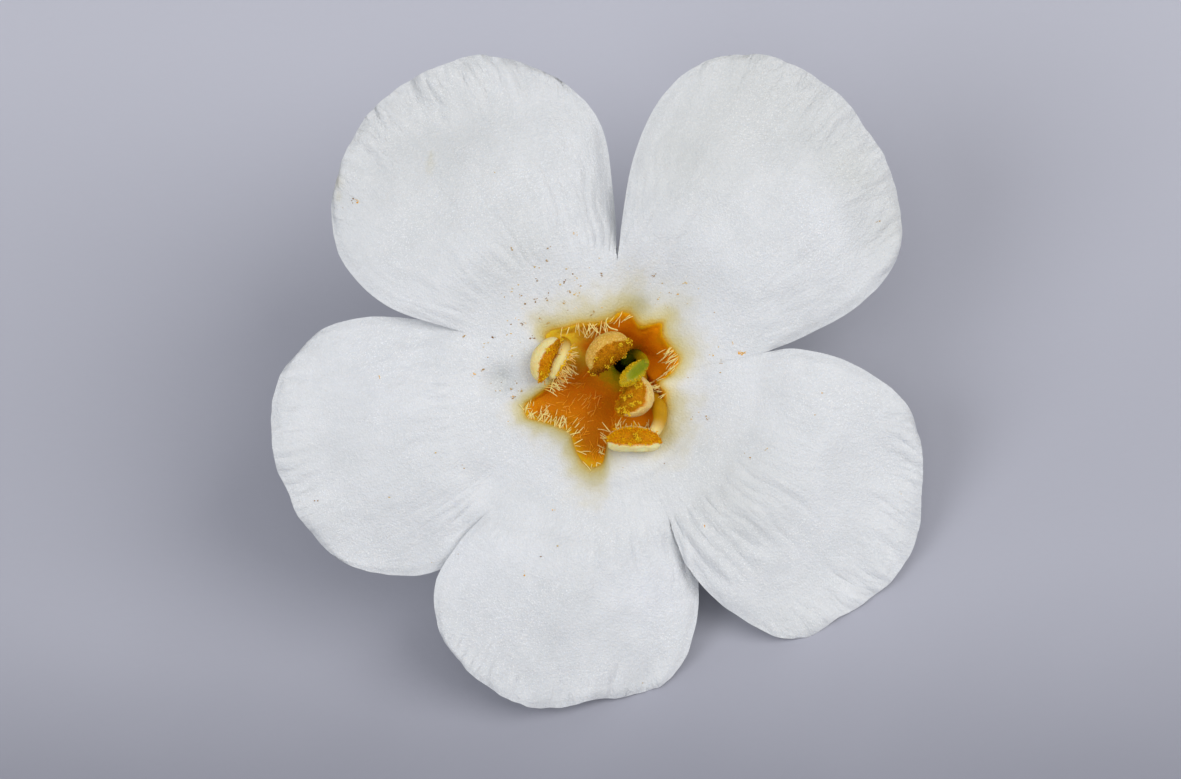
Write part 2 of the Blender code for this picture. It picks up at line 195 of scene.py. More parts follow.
def newMaterial(name, roughness, gloss, glow=None):
    # a material, its node tree, and the place on the piece in mm that its textures follow.
    # glow is the light that spreads under its skin, as share, distance in mm and colour
    material = bpy.data.materials.new(name)
    material.use_nodes = True
    tree = material.node_tree
    finish = {"Roughness": roughness, "Specular IOR Level": gloss}
    if glow:
        share, distance, colour = glow
        finish.update({"Subsurface Weight": share, "Subsurface Scale": distance * mm,
                       "Subsurface Radius": colour})
    for key, value in finish.items():
        tree.nodes["Principled BSDF"].inputs[key].default_value = value
    return material, tree, scaled(tree, addNode(tree, "TexCoord").outputs["Object"], (1000, 1000, 1000))


def finished(material, colour, *layers):
    # puts the colour and the bumps on the shader; each bump is (height, distance in mm, strength)
    tree, normal = material.node_tree, None
    shader = tree.nodes["Principled BSDF"]
    tree.links.new(colour, shader.inputs["Base Color"])
    for height, distance, strength in layers:
        inputs = {"Height": height, "Distance": distance * mm, "Strength": strength}
        if normal:
            inputs["Normal"] = normal
        normal = addNode(tree, "Bump", inputs).outputs[0]
    tree.links.new(normal, shader.inputs["Normal"])
    return material


def addNode(tree, kind, inputs=None, **settings):
    made = tree.nodes.new("ShaderNode" + kind)
    for key, value in settings.items():
        setattr(made, key, value)
    for key, value in (inputs or {}).items():
        if isinstance(value, bpy.types.NodeSocket):
            tree.links.new(value, made.inputs[key])
        else:
            made.inputs[key].default_value = value
    return made


def mark(tree, name, output="Fac"):
    return addNode(tree, "Attribute", attribute_name=name).outputs[output]


def mixed(tree, share, first, second, blend="MIX"):
    made = addNode(tree, "Mix", {0: share, 6: first, 7: second}, data_type="RGBA", blend_type=blend)
    return made.outputs[2]


def maths(tree, operation, a, b):
    return addNode(tree, "Math", {0: a, 1: b}, operation=operation).outputs[0]


def scaled(tree, vector, by):
    return addNode(tree, "VectorMath", {0: vector, 1: by}, operation="MULTIPLY").outputs[0]


def ramp(tree, value, *stops):
    # colour that runs through the stops (value, colour)
    made = addNode(tree, "ValToRGB", {0: value})
    strip = made.color_ramp
    strip.interpolation = "EASE"
    while len(strip.elements) < len(stops):
        strip.elements.new(1.0)
    for element, (at, colour) in zip(strip.elements, stops):
        element.position = at
        element.color = colour
    return made.outputs[0]


def span(tree, value, low, high, toLow=0.0, toHigh=1.0):
    # what runs from low to high, as a run from toLow to toHigh
    made = addNode(tree, "MapRange", {0: value, 1: low, 2: high, 3: toLow, 4: toHigh}, clamp=True)
    return made.outputs[0]


def grain(tree, place, scale, detail=2.0, rough=0.5):
    inputs = {"Vector": place, "Scale": scale, "Detail": detail, "Roughness": rough}
    return addNode(tree, "TexNoise", inputs).outputs[0]


def cells(tree, place, scale):
    return addNode(tree, "TexVoronoi", {"Vector": place, "Scale": scale}).outputs["Distance"]


print("stage 1: the corolla")

# petals counter-clockwise; an outline is (bearing, reach) from notch to notch, with a shoulder at points 3
# and -4. lap: clockwise and counter-clockwise side over (+) or under (-) the neighbour. crimp and wrinkle are
# strengths, wrinkle for the clockwise and the other side; fold is how far the clockwise edge is folded back
petals = [
    {"lap": (-1, 1), "rise": 0.55, "droop": 0.6, "waves": 4.0, "phase": 0.3,  # top right
     "crimp": 1.4, "wrinkle": (0.3, 0.6), "fold": 0, "outline": [
         (11.4, 5.26), (13.8, 6.9), (18, 9.15), (25, 10.95), (37, 12.0), (50, 12.5), (61, 12.45),
         (70.5, 11.7), (78, 10.15), (82.8, 7.7), (84.6, 4.2)]},
    {"lap": (-1, 1), "rise": 0.5, "droop": 0.5, "waves": 4.5, "phase": 1.9,  # top left
     "crimp": 2.1, "wrinkle": (1.0, 0.5), "fold": 0.4, "outline": [
         (84.6, 4.2), (87.3, 6.2), (91, 8.8), (99, 10.45), (110, 11.8), (122, 12.15), (134, 11.95),
         (145, 11.1), (154, 9.9), (160, 7.8), (159.5, 5.0)]},
    {"lap": (-1, -1), "rise": 0.35, "droop": 0.2, "waves": 3.5, "phase": 4.0,  # left
     "crimp": 0.9, "wrinkle": (0.5, 0.5), "fold": 0, "outline": [
         (159.5, 5.0), (160.8, 6.7), (165.3, 8.75), (172, 10.15), (182, 11.15), (193, 11.33), (204, 11.12),
         (214, 10.6), (224, 9.25), (230.5, 7.5), (227.4, 5.7)]},
    {"lap": (1, -1), "rise": 0.6, "droop": 0.25, "waves": 3.5, "phase": 5.2,  # bottom
     "crimp": 1.3, "wrinkle": (0.4, 0.7), "fold": 0, "outline": [
         (227.4, 5.7), (227.2, 7.2), (230, 8.9), (238, 10.1), (248, 10.85), (258, 11.07), (269, 10.56),
         (280, 10.3), (288.5, 9.15), (296.5, 6.9), (295.5, 4.82)]},
    {"lap": (1, 1), "rise": 0.65, "droop": 0.35, "waves": 4.5, "phase": 2.6,  # right
     "crimp": 1.3, "wrinkle": (1.5, 0.35), "fold": 0, "outline": [
         (295.5, 4.82), (294.6, 6.8), (299.5, 8.8), (306.5, 10.6), (318, 11.25), (330, 11.75),
         (343, 11.15), (355, 10.3), (364, 8.55), (370.5, 6.6), (371.4, 5.26)]},
]
# across and the rows count faces, steps the points between two of an outline; petals and throat meet at ring
blade = {
    "across": 120, "notchRows": 9, "sideRows": 49, "steps": 24, "ring": 3.25, "lift": -0.2, "ringLift": -0.03,
    "lapHeight": 0.24, "lapWide": 0.4, "foldWide": 0.06, "wave": 0.07, "thick": 0.2, "marginThick": 0.045,
    "crimpHeight": 0.075, "wrinkleHeight": 0.08, "pucker": 0.035, "swell": 0.17, "edgeWobble": 0.085,
    "lowest": 0.02,
}
throat = {
    "faceRows": 8, "lipRows": 4, "floorRows": 26, "tubeRows": 10, "lipWide": 0.12, "step": 0.36, "dip": 0.2,
    "dipReach": 0.3, "folds": 0.16, "holeDepth": 2.3, "holeReach": 0.5, "holeMiddle": (0.66, 0.76),
    "tubeReach": 1.15, "tubeFoot": 5.6, "lean": (0.24, 0.28), "bendDepth": 0.4, "outReach": 3.1, "wall": 0.16,
    # the ridge beside the left stamen and the yellow stretch of the rim, as bearing, breadth (and height)
    "ridge": (160, 13, 0.22), "olive": (128, 25),
    # how softly the face rolls into the mouth as (bearing, share), and hollows by it as (x, y, size, depth)
    "softness": [(0, 0.9), (30, 0.9), (60, 1.2), (75, 1.35), (92, 1.1), (120, 0.75), (136, 0.9), (150, 0.5),
                 (180, 0.3), (198, 0.15), (210, 0.25), (238, 0.45), (262, 1.2), (275, 1.1), (285, 0.7),
                 (315, 0.9), (345, 0.9)],
    "hollows": [(-3.5, 0.1, 0.5, 0.42), (3.3, -1.4, 0.7, 0.22), (-3.9, -3.2, 0.6, 0.2), (1.0, 3.3, 0.9, 0.3),
                (2.6, 3.4, 0.9, 0.2)],
    # painted shade (+) and painted light (-) on the skin as (x, y, size, strength): petals, then throat and
    # rim
    "paintedShadeAndLight": [(7.2, 8.4, 2.6, 0.06), (2.6, 7.6, 1.8, 0.08), (4.6, 10.4, 2.2, 0.07), (8.2, 7.2, 0.9, 0.07),
              (9.6, 5.6, 1.4, 0.09), (4.2, -3.6, 1.8, 0.07), (2.9, -1.8, 0.8, 0.04), (6.6, -8.0, 1.6, 0.03),
              (1.6, -7.0, 1.4, -0.05), (-4.2, -5.8, 1.8, -0.04), (-8.0, 0.8, 2.4, -0.03),
              (-5.6, 8.2, 3.4, 0.05), (-2.8, 4.4, 1.2, 0.05), (9.2, 5.9, 0.5, -0.04),
              (7.2, 5.9, 1.2, -0.04), (-3.4, 0.2, 0.5, 0.12), (1.1, 2.75, 0.6, 0.22), (2.3, 2.7, 0.8, 0.14),
              (-0.4, -3.1, 0.45, 0.09), (-3.0, -0.9, 0.3, -0.12), (-1.5, -0.8, 0.9, 0.19),
              (-0.5, -1.85, 0.75, 0.34), (1.6, 1.9, 0.9, -0.35), (2.2, 0.6, 0.6, -0.3),
              (-0.8, 0.0, 0.5, -0.05), (-0.9, 1.7, 0.5, -0.35), (1.3, 0.95, 0.33, -0.5),
              (-2.1, -0.9, 0.5, 0.05), (1.3, 2.5, 0.45, 0.12), (2.4, 1.8, 0.5, 0.14),
              (2.0, -0.15, 0.3, -0.5), (2.0, -1.2, 0.3, -0.2)],
    # faint stains as (x, y, size)
    "stains": [(-5.8, 7.66, 0.1), (-5.83, 7.42, 0.13), (-5.88, 7.15, 0.1), (-8.95, 6.8, 0.2),
               (-8.9, 6.3, 0.12)],
    "stainStrength": 0.3,
    # the mouth, an uneven star as (bearing, reach)
    "mouth": [(11.8, 2.41), (18.7, 2.65), (25, 2.64), (32.5, 2.58), (40, 2.6), (47.3, 2.85), (54.4, 2.55),
              (60, 2.36), (70.1, 2.55), (80, 2.48), (88.2, 2.2), (100, 2.15), (115.8, 2.3), (124.4, 2.38),
              (135, 2.6), (144, 2.5), (151, 1.55), (166, 1.65), (178, 1.86), (184, 2.17), (189, 2.5),
              (192.5, 2.76), (198, 2.86), (203.5, 2.84), (208, 2.62), (212.6, 2.42), (222, 2.14),
              (232.7, 2.03), (238.8, 2.2), (248.9, 2.57), (256.4, 2.77), (262.5, 2.8), (269.6, 2.6),
              (273, 2.2), (275.5, 1.9), (283, 1.72), (292, 1.78), (302, 2.0), (314, 2.4), (323.4, 2.4),
              (331.7, 2.28), (343, 2.16), (353.8, 2.06), (361, 1.84), (366, 2.14)],
}


def allRound(pairs):
    # smooth curve through (bearing, value) pairs that go right round
    return throughPoints([(b + turn, value) for turn in (-360, 0, 360) for b, value in pairs], 6)


mouthCurve, softCurve = allRound(throat["mouth"]), allRound(throat["softness"])


def mouthReach(bearing):
    return np.interp(np.mod(bearing, 360), mouthCurve[:, 0], mouthCurve[:, 1])


def softness(bearing):
    return np.interp(np.mod(bearing, 360), softCurve[:, 0], softCurve[:, 1])


# the mouth's star evened out, for the slope of the floor under it
evenBearings = np.arange(0, 361, 3.0)
evenReach = np.array([mouthReach(b + np.arange(-24, 25, 2)).mean() for b in evenBearings])


def besideMouth(flat):
    # how far the face lies under its own level round the mouth: the roll of the lip and the hollows
    beyond = np.maximum(np.linalg.norm(flat, axis=-1) - mouthReach(bearingOf(flat)), 0)
    soft = softness(bearingOf(flat))
    sunk = throat["dip"] * (0.3 + 0.7 * soft) * np.exp(-beyond / (throat["dipReach"] * (0.4 + 0.8 * soft)))
    for x, y, size, depth in throat["hollows"]:
        sunk = sunk + depth * spotAt(flat, x, y, size)
    return sunk


def paintedShadeAt(flat):
    # how much painted shade (or, below 0, painted light) lies on the skin at each place
    tone = np.zeros(flat.shape[:-1])
    for x, y, size, strength in throat["paintedShadeAndLight"]:
        tone = tone + strength * spotAt(flat, x, y, size)
    return tone


def tubeMiddle(depth):
    # how far the tube leans aside at a depth under the face
    return np.multiply.outer(np.maximum(0, np.asarray(depth) - throat["bendDepth"]), throat["lean"])


def petalPatch(petal, number):
    # flat places and shares (across, along) of one petal's grid, whose sides and margin follow its outline
    rows = blade["notchRows"] + blade["sideRows"]
    steps = blade["steps"]
    curve = throughPoints([polar(*p) for p in petal["outline"]], steps)
    along = np.arange(len(curve)) / steps
    wobble = ripple(along * 2.3, 0, 7.3 * number) + 0.45 * ripple(along * 5.1, 0, 2.9 * number)
    wobble *= smooth(np.minimum(np.arange(len(curve)), np.arange(len(curve))[::-1]) / (3 * steps))
    curve = curve + polar(bearingOf(curve), blade["edgeWobble"] * wobble)
    start, end = petal["outline"][0][0], petal["outline"][-1][0]

    def side(bearing, freeEdge):
        root = evenly(np.array([polar(bearing, blade["ring"]), freeEdge[0]]), blade["notchRows"])
        return np.vstack([root, evenly(freeEdge, blade["sideRows"])[1:]])

    left = side(start, curve[: 3 * steps + 1])[:, None, :]
    right = side(end, curve[-3 * steps - 1:][::-1])[:, None, :]
    margin = evenly(curve[3 * steps: len(curve) - 3 * steps], blade["across"])[None]
    s = np.linspace(0, 1, blade["across"] + 1)[None, :]
    t = np.linspace(0, 1, rows + 1)[:, None]
    root = polar(start + (end - start) * s, blade["ring"])
    flat = (1 - t)[..., None] * root + t[..., None] * margin
    flat = flat + (1 - s)[..., None] * left + s[..., None] * right
    for edge, share in ((0, 1 - t), (-1, t)):
        flat -= share[..., None] * ((1 - s)[..., None] * left[edge] + s[..., None] * right[edge])
    return flat, s + 0 * t, t + 0 * s


def pastNotch(t):
    # 0 up to the notches, 1 at the margin
    notch = blade["notchRows"] / (blade["notchRows"] + blade["sideRows"])
    return np.clip((t - notch) / (1 - notch), 0, 1)


def petalForm(petal, number, flat, s, t):
    # the broad form of one petal: laps, rise, droop, waves and swells
    out, wide = pastNotch(t), blade["lapWide"]
    clockwise, counter = petal["lap"]
    lap = blade["lapHeight"] * smooth(out / 0.22)
    height = lap * (clockwise * (1 - smooth(s / wide)) + counter * smooth(1 - (1 - s) / wide))
    body = 1 - ((2 * s - 1) ** 2 + 0.02) ** 0.8
    height += petal["rise"] * np.sin(np.pi * t**0.8) ** 2 * body
    height -= petal["droop"] * out**2.5
    height += blade["ringLift"] + (blade["lift"] - blade["ringLift"]) * smooth(out / 0.5)
    nearMargin = t**5
    height += blade["wave"] * nearMargin * np.sin(2 * np.pi * petal["waves"] * s + petal["phase"])
    sides = np.abs(2 * s - 1) ** 5 * smooth(out / 0.3) * (1 - nearMargin)
    height += 0.5 * blade["wave"] * sides * np.sin(11 * t + petal["phase"])
    swell = blade["swell"] * body * smooth(out / 0.3)
    return height + swell * ripple(flat[..., 0] / 2.6, flat[..., 1] / 2.6, 3.1 + number)


def petalHeight(petal, number, flat, s, t):
    # height of one petal, and how strong the pleats of its material are
    x, y, reach, bearing = flat[..., 0], flat[..., 1], np.linalg.norm(flat, axis=-1), bearingOf(flat)
    out, height = pastNotch(t), petalForm(petal, number, flat, s, t)
    # crimps run in from the margin
    loose = bearing + 2.2 * ripple(x / 1.3, y / 1.3, 9.4)
    crimp = ripple(loose / 2.6, reach / 2.4, 11.7 + number)
    crimp += 0.8 * ripple(loose / 1.1, reach / 1.6, 5.2 + number)
    crimp += 0.3 - 1.1 * np.abs(ripple(loose / 1.5, reach / 2.2, 3.9 + number))
    fadeIn = smooth((t - 0.72 - 0.1 * ripple(bearing / 4, 0, 6.1 + number)) / 0.26)
    height += petal["crimp"] * blade["crimpHeight"] * fadeIn * crimp
    relief = 1.5 * petal["crimp"] * fadeIn
    # wrinkles fan out from the root and wander a little; the second part makes sharper creases
    astray = bearing + 4.5 * ripple(x / 1.5, y / 1.5, 14.2)
    wrinkle = ripple(astray / 2.3, reach / 2.4, 21.3 + number) + 0.5 * ripple(astray / 1.1, reach / 1.3, 8.8)
    wrinkle += 0.4 - 1.5 * np.abs(ripple(astray / 3.0, reach / 2.0, 17.1 + number))
    low, high = petal["wrinkle"]
    strength = low * (1 - smooth(s / 0.75)) + high * smooth((s - 0.25) / 0.75)
    fan = smooth(out / 0.08) * (1 - smooth((out - 0.25) / 0.5))
    height += strength * blade["wrinkleHeight"] * fan * wrinkle
    relief = relief + 0.8 * strength * fan
    pucker = ripple(x * 1.1, y * 1.1, 2.2) + 0.5 * ripple(x * 2.4, y * 2.4, 4.4)
    height += blade["pucker"] * smooth(out / 0.1) * pucker
    folded = petal["fold"] * np.exp(-((s / blade["foldWide"]) ** 2))
    height -= folded * smooth((out - 0.05) / 0.2) * (1 - smooth((out - 0.5) / 0.3))
    return height - besideMouth(flat), relief


def ridgeHeight(bearings, beyond):
    # the swollen ridge beside the left stamen
    middle, breadth, height = throat["ridge"]
    around = np.exp(-(((bearings - middle) / breadth) ** 2))
    return height * around * np.exp(-(((beyond - 0.1) / 0.3) ** 2))


def throatRows(bearings):
    # rows from the tube's foot up to the ring, each with its share down the floor and how far past the rim
    mouth = mouthReach(bearings)
    edge = polar(bearings, mouth)
    rim, step = -besideMouth(edge), throat["step"] * np.clip(1.25 - 0.75 * softness(bearings), 0.25, 1.1)
    rows = []
    holeShift = np.array(throat["holeMiddle"]) - tubeMiddle(throat["holeDepth"])
    for k in range(throat["tubeRows"]):
        share = k / throat["tubeRows"]
        depth = throat["tubeFoot"] + (throat["holeDepth"] - throat["tubeFoot"]) * share
        wide = throat["tubeReach"] + (throat["holeReach"] - throat["tubeReach"]) * smooth(share * 1.6 - 0.6)
        flat = tubeMiddle(depth) + polar(bearings, wide) + holeShift * share
        rows.append((flat, np.full(len(bearings), -depth), 1 + (1 - share), 0 * mouth))
    hole = np.array(throat["holeMiddle"]) + polar(bearings, throat["holeReach"])
    even = np.interp(np.mod(bearings, 360), evenBearings, evenReach)
    for k in range(throat["floorRows"]):
        down = 1 - k / throat["floorRows"]
        flat = edge + (hole - edge) * down
        far = np.linalg.norm(flat - throat["holeMiddle"], axis=1) - throat["holeReach"]
        fall = 1 - np.clip(far / np.linalg.norm(polar(bearings, even) - hole, axis=1), 0, 1)
        fall = (0.35 * down + 0.65 * fall) * smooth(down / 0.16)
        folds = ripple(np.cos(np.radians(bearings)) * 2.2, np.sin(np.radians(bearings)) * 2.2, 31 + down)
        folds *= throat["folds"] * np.sin(np.pi * down)
        depth = step * smooth(down / 0.15) + (throat["holeDepth"] + rim - step) * fall**1.35 + folds
        rows.append((flat, rim - depth + ridgeHeight(bearings, -down) * (1 - down), down, 0 * mouth))
    lip, toRing = throat["lipWide"], blade["ring"] - mouth
    for k in range(throat["lipRows"] + throat["faceRows"]):
        if k < throat["lipRows"]:
            beyond = lip * (k / throat["lipRows"]) ** 1.5 + 0 * mouth
        else:
            beyond = lip + (toRing - lip) * (k - throat["lipRows"]) / throat["faceRows"]
        flat = polar(bearings, mouth + beyond)
        height = blade["ringLift"] * smooth(beyond / toRing) + ridgeHeight(bearings, beyond)
        rows.append((flat, height - besideMouth(flat), 0.0, beyond))
    return rows


def vertexNormals(points, faces):
    a, b, c, d = (points[faces[:, k]] for k in range(4))
    faceNormals = np.cross(c - a, d - b)
    normals = np.zeros_like(points)
    for k in range(4):
        np.add.at(normals, faces[:, k], faceNormals)
    return normals / np.maximum(np.linalg.norm(normals, axis=1), 1e-12)[:, None]


def funnelOutside(upper, under):
    # the lower side of the throat's rows: a plain round funnel that keeps clear of the star-shaped inside
    middle = np.array(throat["holeMiddle"])
    rows, columns = upper.shape[:2]
    first, last = throat["tubeRows"], rows - 1
    outside = polar(bearingOf(upper[last]), throat["outReach"])
    share = np.linspace(0, 1, last - first + 1)[:, None]
    hole = under[first, :, :2]
    flat = hole + (outside - hole) * share[..., None] ** 0.9
    flat[-1] = under[last, :, :2]
    level = under[last, :, 2] + (under[first, :, 2] - under[last, :, 2]) * (1 - share) ** 1.25
    away = np.linalg.norm(upper[first:, :, :2] - middle, axis=2)
    wanted = np.linalg.norm(flat - middle, axis=2)
    for column in range(columns):
        inside = np.interp(wanted[:, column], away[:, column], upper[first:, column, 2])
        level[:, column] = np.minimum(level[:, column], inside - throat["wall"])
    level[-1] = under[last, :, 2]
    kernel = np.exp(-((np.arange(-30, 31) / 14.0) ** 2))
    for _ in range(2):
        level[1:-1] = np.minimum(level[1:-1], blurred(level[1:-1], kernel))
    under[first:, :, :2], under[first:, :, 2] = flat, level
    return under


def blurred(rows, kernel):
    # each row softened all round
    reach = len(kernel) // 2
    wrapped = np.concatenate([rows[:, -reach:], rows, rows[:, :reach]], axis=1)
    return np.array([np.convolve(row, kernel / kernel.sum(), "valid") for row in wrapped])


def thickened(points, faces, thickness, index):
    # a thin sheet as a closed skin, and its normals: upper side, lower side and the rim between them
    half = vertexNormals(points, faces) * thickness[:, None] / 2
    count = len(points)
    upper, under = points + half, points - half
    under[index] = funnelOutside(upper[index], under[index])
    directed = np.concatenate([faces[:, [k, (k + 1) % 4]] for k in range(4)])
    code = directed[:, 0] * count + directed[:, 1]
    back = directed[:, 1] * count + directed[:, 0]
    free = directed[~np.isin(code, back)]
    rim = np.column_stack([free[:, 1], free[:, 0], free[:, 0] + count, free[:, 1] + count])
    skin = np.vstack([faces, faces[:, ::-1] + count, rim])
    normals = np.vstack([vertexNormals(upper, faces), vertexNormals(under, faces[:, ::-1])])
    return np.vstack([upper, under]), skin, normals


def restOnFloor(points):
    # what would reach under the surface that the flower lies on is bent up onto it
    toRow = np.array(flowerPlace.to_3x3())
    middle = np.array(flowerPlace.translation) / mm
    world = np.asarray(points) @ toRow.T + middle
    low = world[:, 2] < blade["lowest"]
    world[low, 2] = blade["lowest"] * np.exp(np.minimum(world[low, 2] - blade["lowest"], 0) * 3)
    return (world - middle) @ toRow


def marksAt(flat, down, beyond, margin, number, relief):
    # what the materials have to know at each point of the skin
    bearing = np.mod(bearingOf(flat), 360)
    seam = petals[0]["outline"][0][0]
    turned = np.where(bearing < seam, bearing + 360, bearing)
    away = [np.hypot(flat[:, 0] - x, flat[:, 1] - y) / size for x, y, size in throat["stains"]]
    middle, breadth = throat["olive"]
    lobe = np.exp(-(((bearing - middle) / breadth) ** 2))
    down, margin, relief = (np.broadcast_to(values, len(flat)) for values in (down, margin, relief))
    return {
        "haloReach": beyond / (0.55 + 0.5 * softness(bearing)), "floorShare": down, "relief": relief,
        # shade: the patches of painted shade and painted light
        "shade": paintedShadeAt(flat), "stain": throat["stainStrength"] * np.exp(-np.min(away, axis=0) ** 2),
        "olive": lobe * (1 - smooth((down - 0.35) / 0.3)),
        "fan": np.column_stack([turned / 10, np.linalg.norm(flat, axis=1), np.full(len(flat), number)]),
        "thick": blade["thick"] + (blade["marginThick"] - blade["thick"]) * margin}


def petalGrid(number, ring, count, shared):
    # numbers of one petal's points, which start at count, and the grid places of those that are new
    across, rows = blade["across"], blade["notchRows"] + blade["sideRows"]
    grid, fresh = np.zeros((rows + 1, across + 1), int), []
    grid[0] = ring[(number * across + np.arange(across + 1)) % len(ring)]
    for row in range(1, rows + 1):
        for column in range(across + 1):
            # neighbours share the points between the ring and the notch
            key = ((number + (column == across)) % len(petals), row)
            joined = row <= blade["notchRows"] and column in (0, across)
            if joined and key in shared:
                grid[row, column] = shared[key]
                continue
            if joined:
                shared[key] = count
            grid[row, column] = count
            fresh.append((row, column))
            count += 1
    return grid, tuple(np.array(fresh).T), count


def corollaSheet():
    # the whole corolla as one skin, with its marks; petal_sheet and throat_funnel are cut from it
    across = blade["across"]
    bearings = np.concatenate([
        np.linspace(p["outline"][0][0], p["outline"][-1][0], across + 1)[:-1] for p in petals])
    rows = throatRows(bearings)
    flat, beyond = polar(bearings, blade["ring"]), blade["ring"] - mouthReach(bearings)
    height = blade["ringLift"] - besideMouth(flat) + ridgeHeight(bearings, beyond)
    rows.append((flat, height, 0.0, beyond))
    points = [np.column_stack([flat, height]) for flat, height, _, _ in rows]
    marks = [marksAt(flat, down, beyond, 0.0, 0.0, 0.0) for flat, _, down, beyond in rows]
    index = np.arange(len(rows) * len(bearings)).reshape(len(rows), -1)
    faces = [np.column_stack([low, np.roll(low, -1), np.roll(high, -1), high])
             for low, high in zip(index, index[1:])]
    count, shared = index.size, {}
    for number, petal in enumerate(petals):
        flat, s, t = petalPatch(petal, number)
        height, relief = petalHeight(petal, number, flat, s, t)
        nearSide = (1 - smooth(np.minimum(s, 1 - s) / 0.05)) * smooth(pastNotch(t) / 0.1)
        margin = np.maximum(nearSide, smooth((t - 0.94) / 0.06))
        beyond = np.linalg.norm(flat, axis=-1) - mouthReach(bearingOf(flat))
        grid, new, count = petalGrid(number, index[-1], count, shared)
        points.append(np.column_stack([flat[new], height[new]]))
        marks.append(marksAt(flat[new], 0.0, beyond[new], margin[new], float(number), relief[new]))
        for low, high in zip(grid, grid[1:]):
            faces.append(np.column_stack([low[:-1], low[1:], high[1:], high[:-1]]))
    points = np.concatenate(points)
    marks = {name: np.concatenate([values[name] for values in marks]) for name in marks[0]}
    skin, skinFaces, normals = thickened(points, np.concatenate(faces)[:, ::-1], marks.pop("thick"), index)
    marks = {name: np.concatenate([values, values]) for name, values in marks.items()}
    marks["lower"] = np.repeat([0.0, 1.0], len(points))
    return restOnFloor(skin), skinFaces, normals, marks, index


def throatColour(tree, place):
    # from the green hole up the orange floor to the yellow rim
    wavy = span(tree, grain(tree, place, 3.0, 3.0), 0.2, 0.8, -0.09, 0.09)
    down = maths(tree, "ADD", mark(tree, "floorShare"), wavy)
    floor = ramp(tree, maths(tree, "MULTIPLY", down, 0.5),
                 (0.0, rgb(234, 182, 20)), (0.03, rgb(236, 154, 2)), (0.12, rgb(230, 132, 0)),
                 (0.28, rgb(216, 112, 0)), (0.38, rgb(200, 112, 0)), (0.45, rgb(168, 146, 0)),
                 (0.53, rgb(100, 134, 4)), (1.0, rgb(76, 108, 20)))
    patches = span(tree, grain(tree, place, 1.3, 4.0, 0.6), 0.35, 0.7, 0.0, 0.35)
    floor = mixed(tree, patches, floor, rgb(224, 150, 4))
    floor = mixed(tree, mark(tree, "olive"), floor, rgb(230, 198, 50))
    fuzz = span(tree, grain(tree, place, 16.0, 2.0), 0.5, 0.75, 0.0, 0.35)
    return mixed(tree, fuzz, floor, rgb(240, 158, 8))


def withPaintedShadeAndLight(tree, colour):
    # puts on the patches of painted shade and painted light; the painted shade is warmer too
    grey = maths(tree, "SUBTRACT", 1.0, mark(tree, "shade"))
    blue = maths(tree, "SUBTRACT", 1.0, maths(tree, "MULTIPLY", mark(tree, "shade"), 1.25))
    share = addNode(tree, "CombineColor", {0: grey, 1: grey, 2: blue}).outputs[0]
    return mixed(tree, 1.0, colour, share, "MULTIPLY")


def alongVeins(tree, across, along):
    # streaks that fan out from the throat, so many across and along a petal
    return scaled(tree, mark(tree, "fan", "Vector"), (across, along, 3.0))


def underside(tree, place, streaks):
    # white with faint green veins, greener towards the tube
    white = mixed(tree, span(tree, streaks, 0.42, 0.7, 0.0, 0.5), rgb(228, 230, 230), rgb(208, 214, 200))
    green = mixed(tree, grain(tree, place, 1.4, 3.0), rgb(214, 220, 188), rgb(198, 208, 160))
    nearTube = maths(tree, "ADD", mark(tree, "haloReach"), span(tree, streaks, 0.3, 0.7, -0.5, 0.5))
    return mixed(tree, span(tree, nearTube, 0.0, 3.2, 1.0, 0.0), white, green)


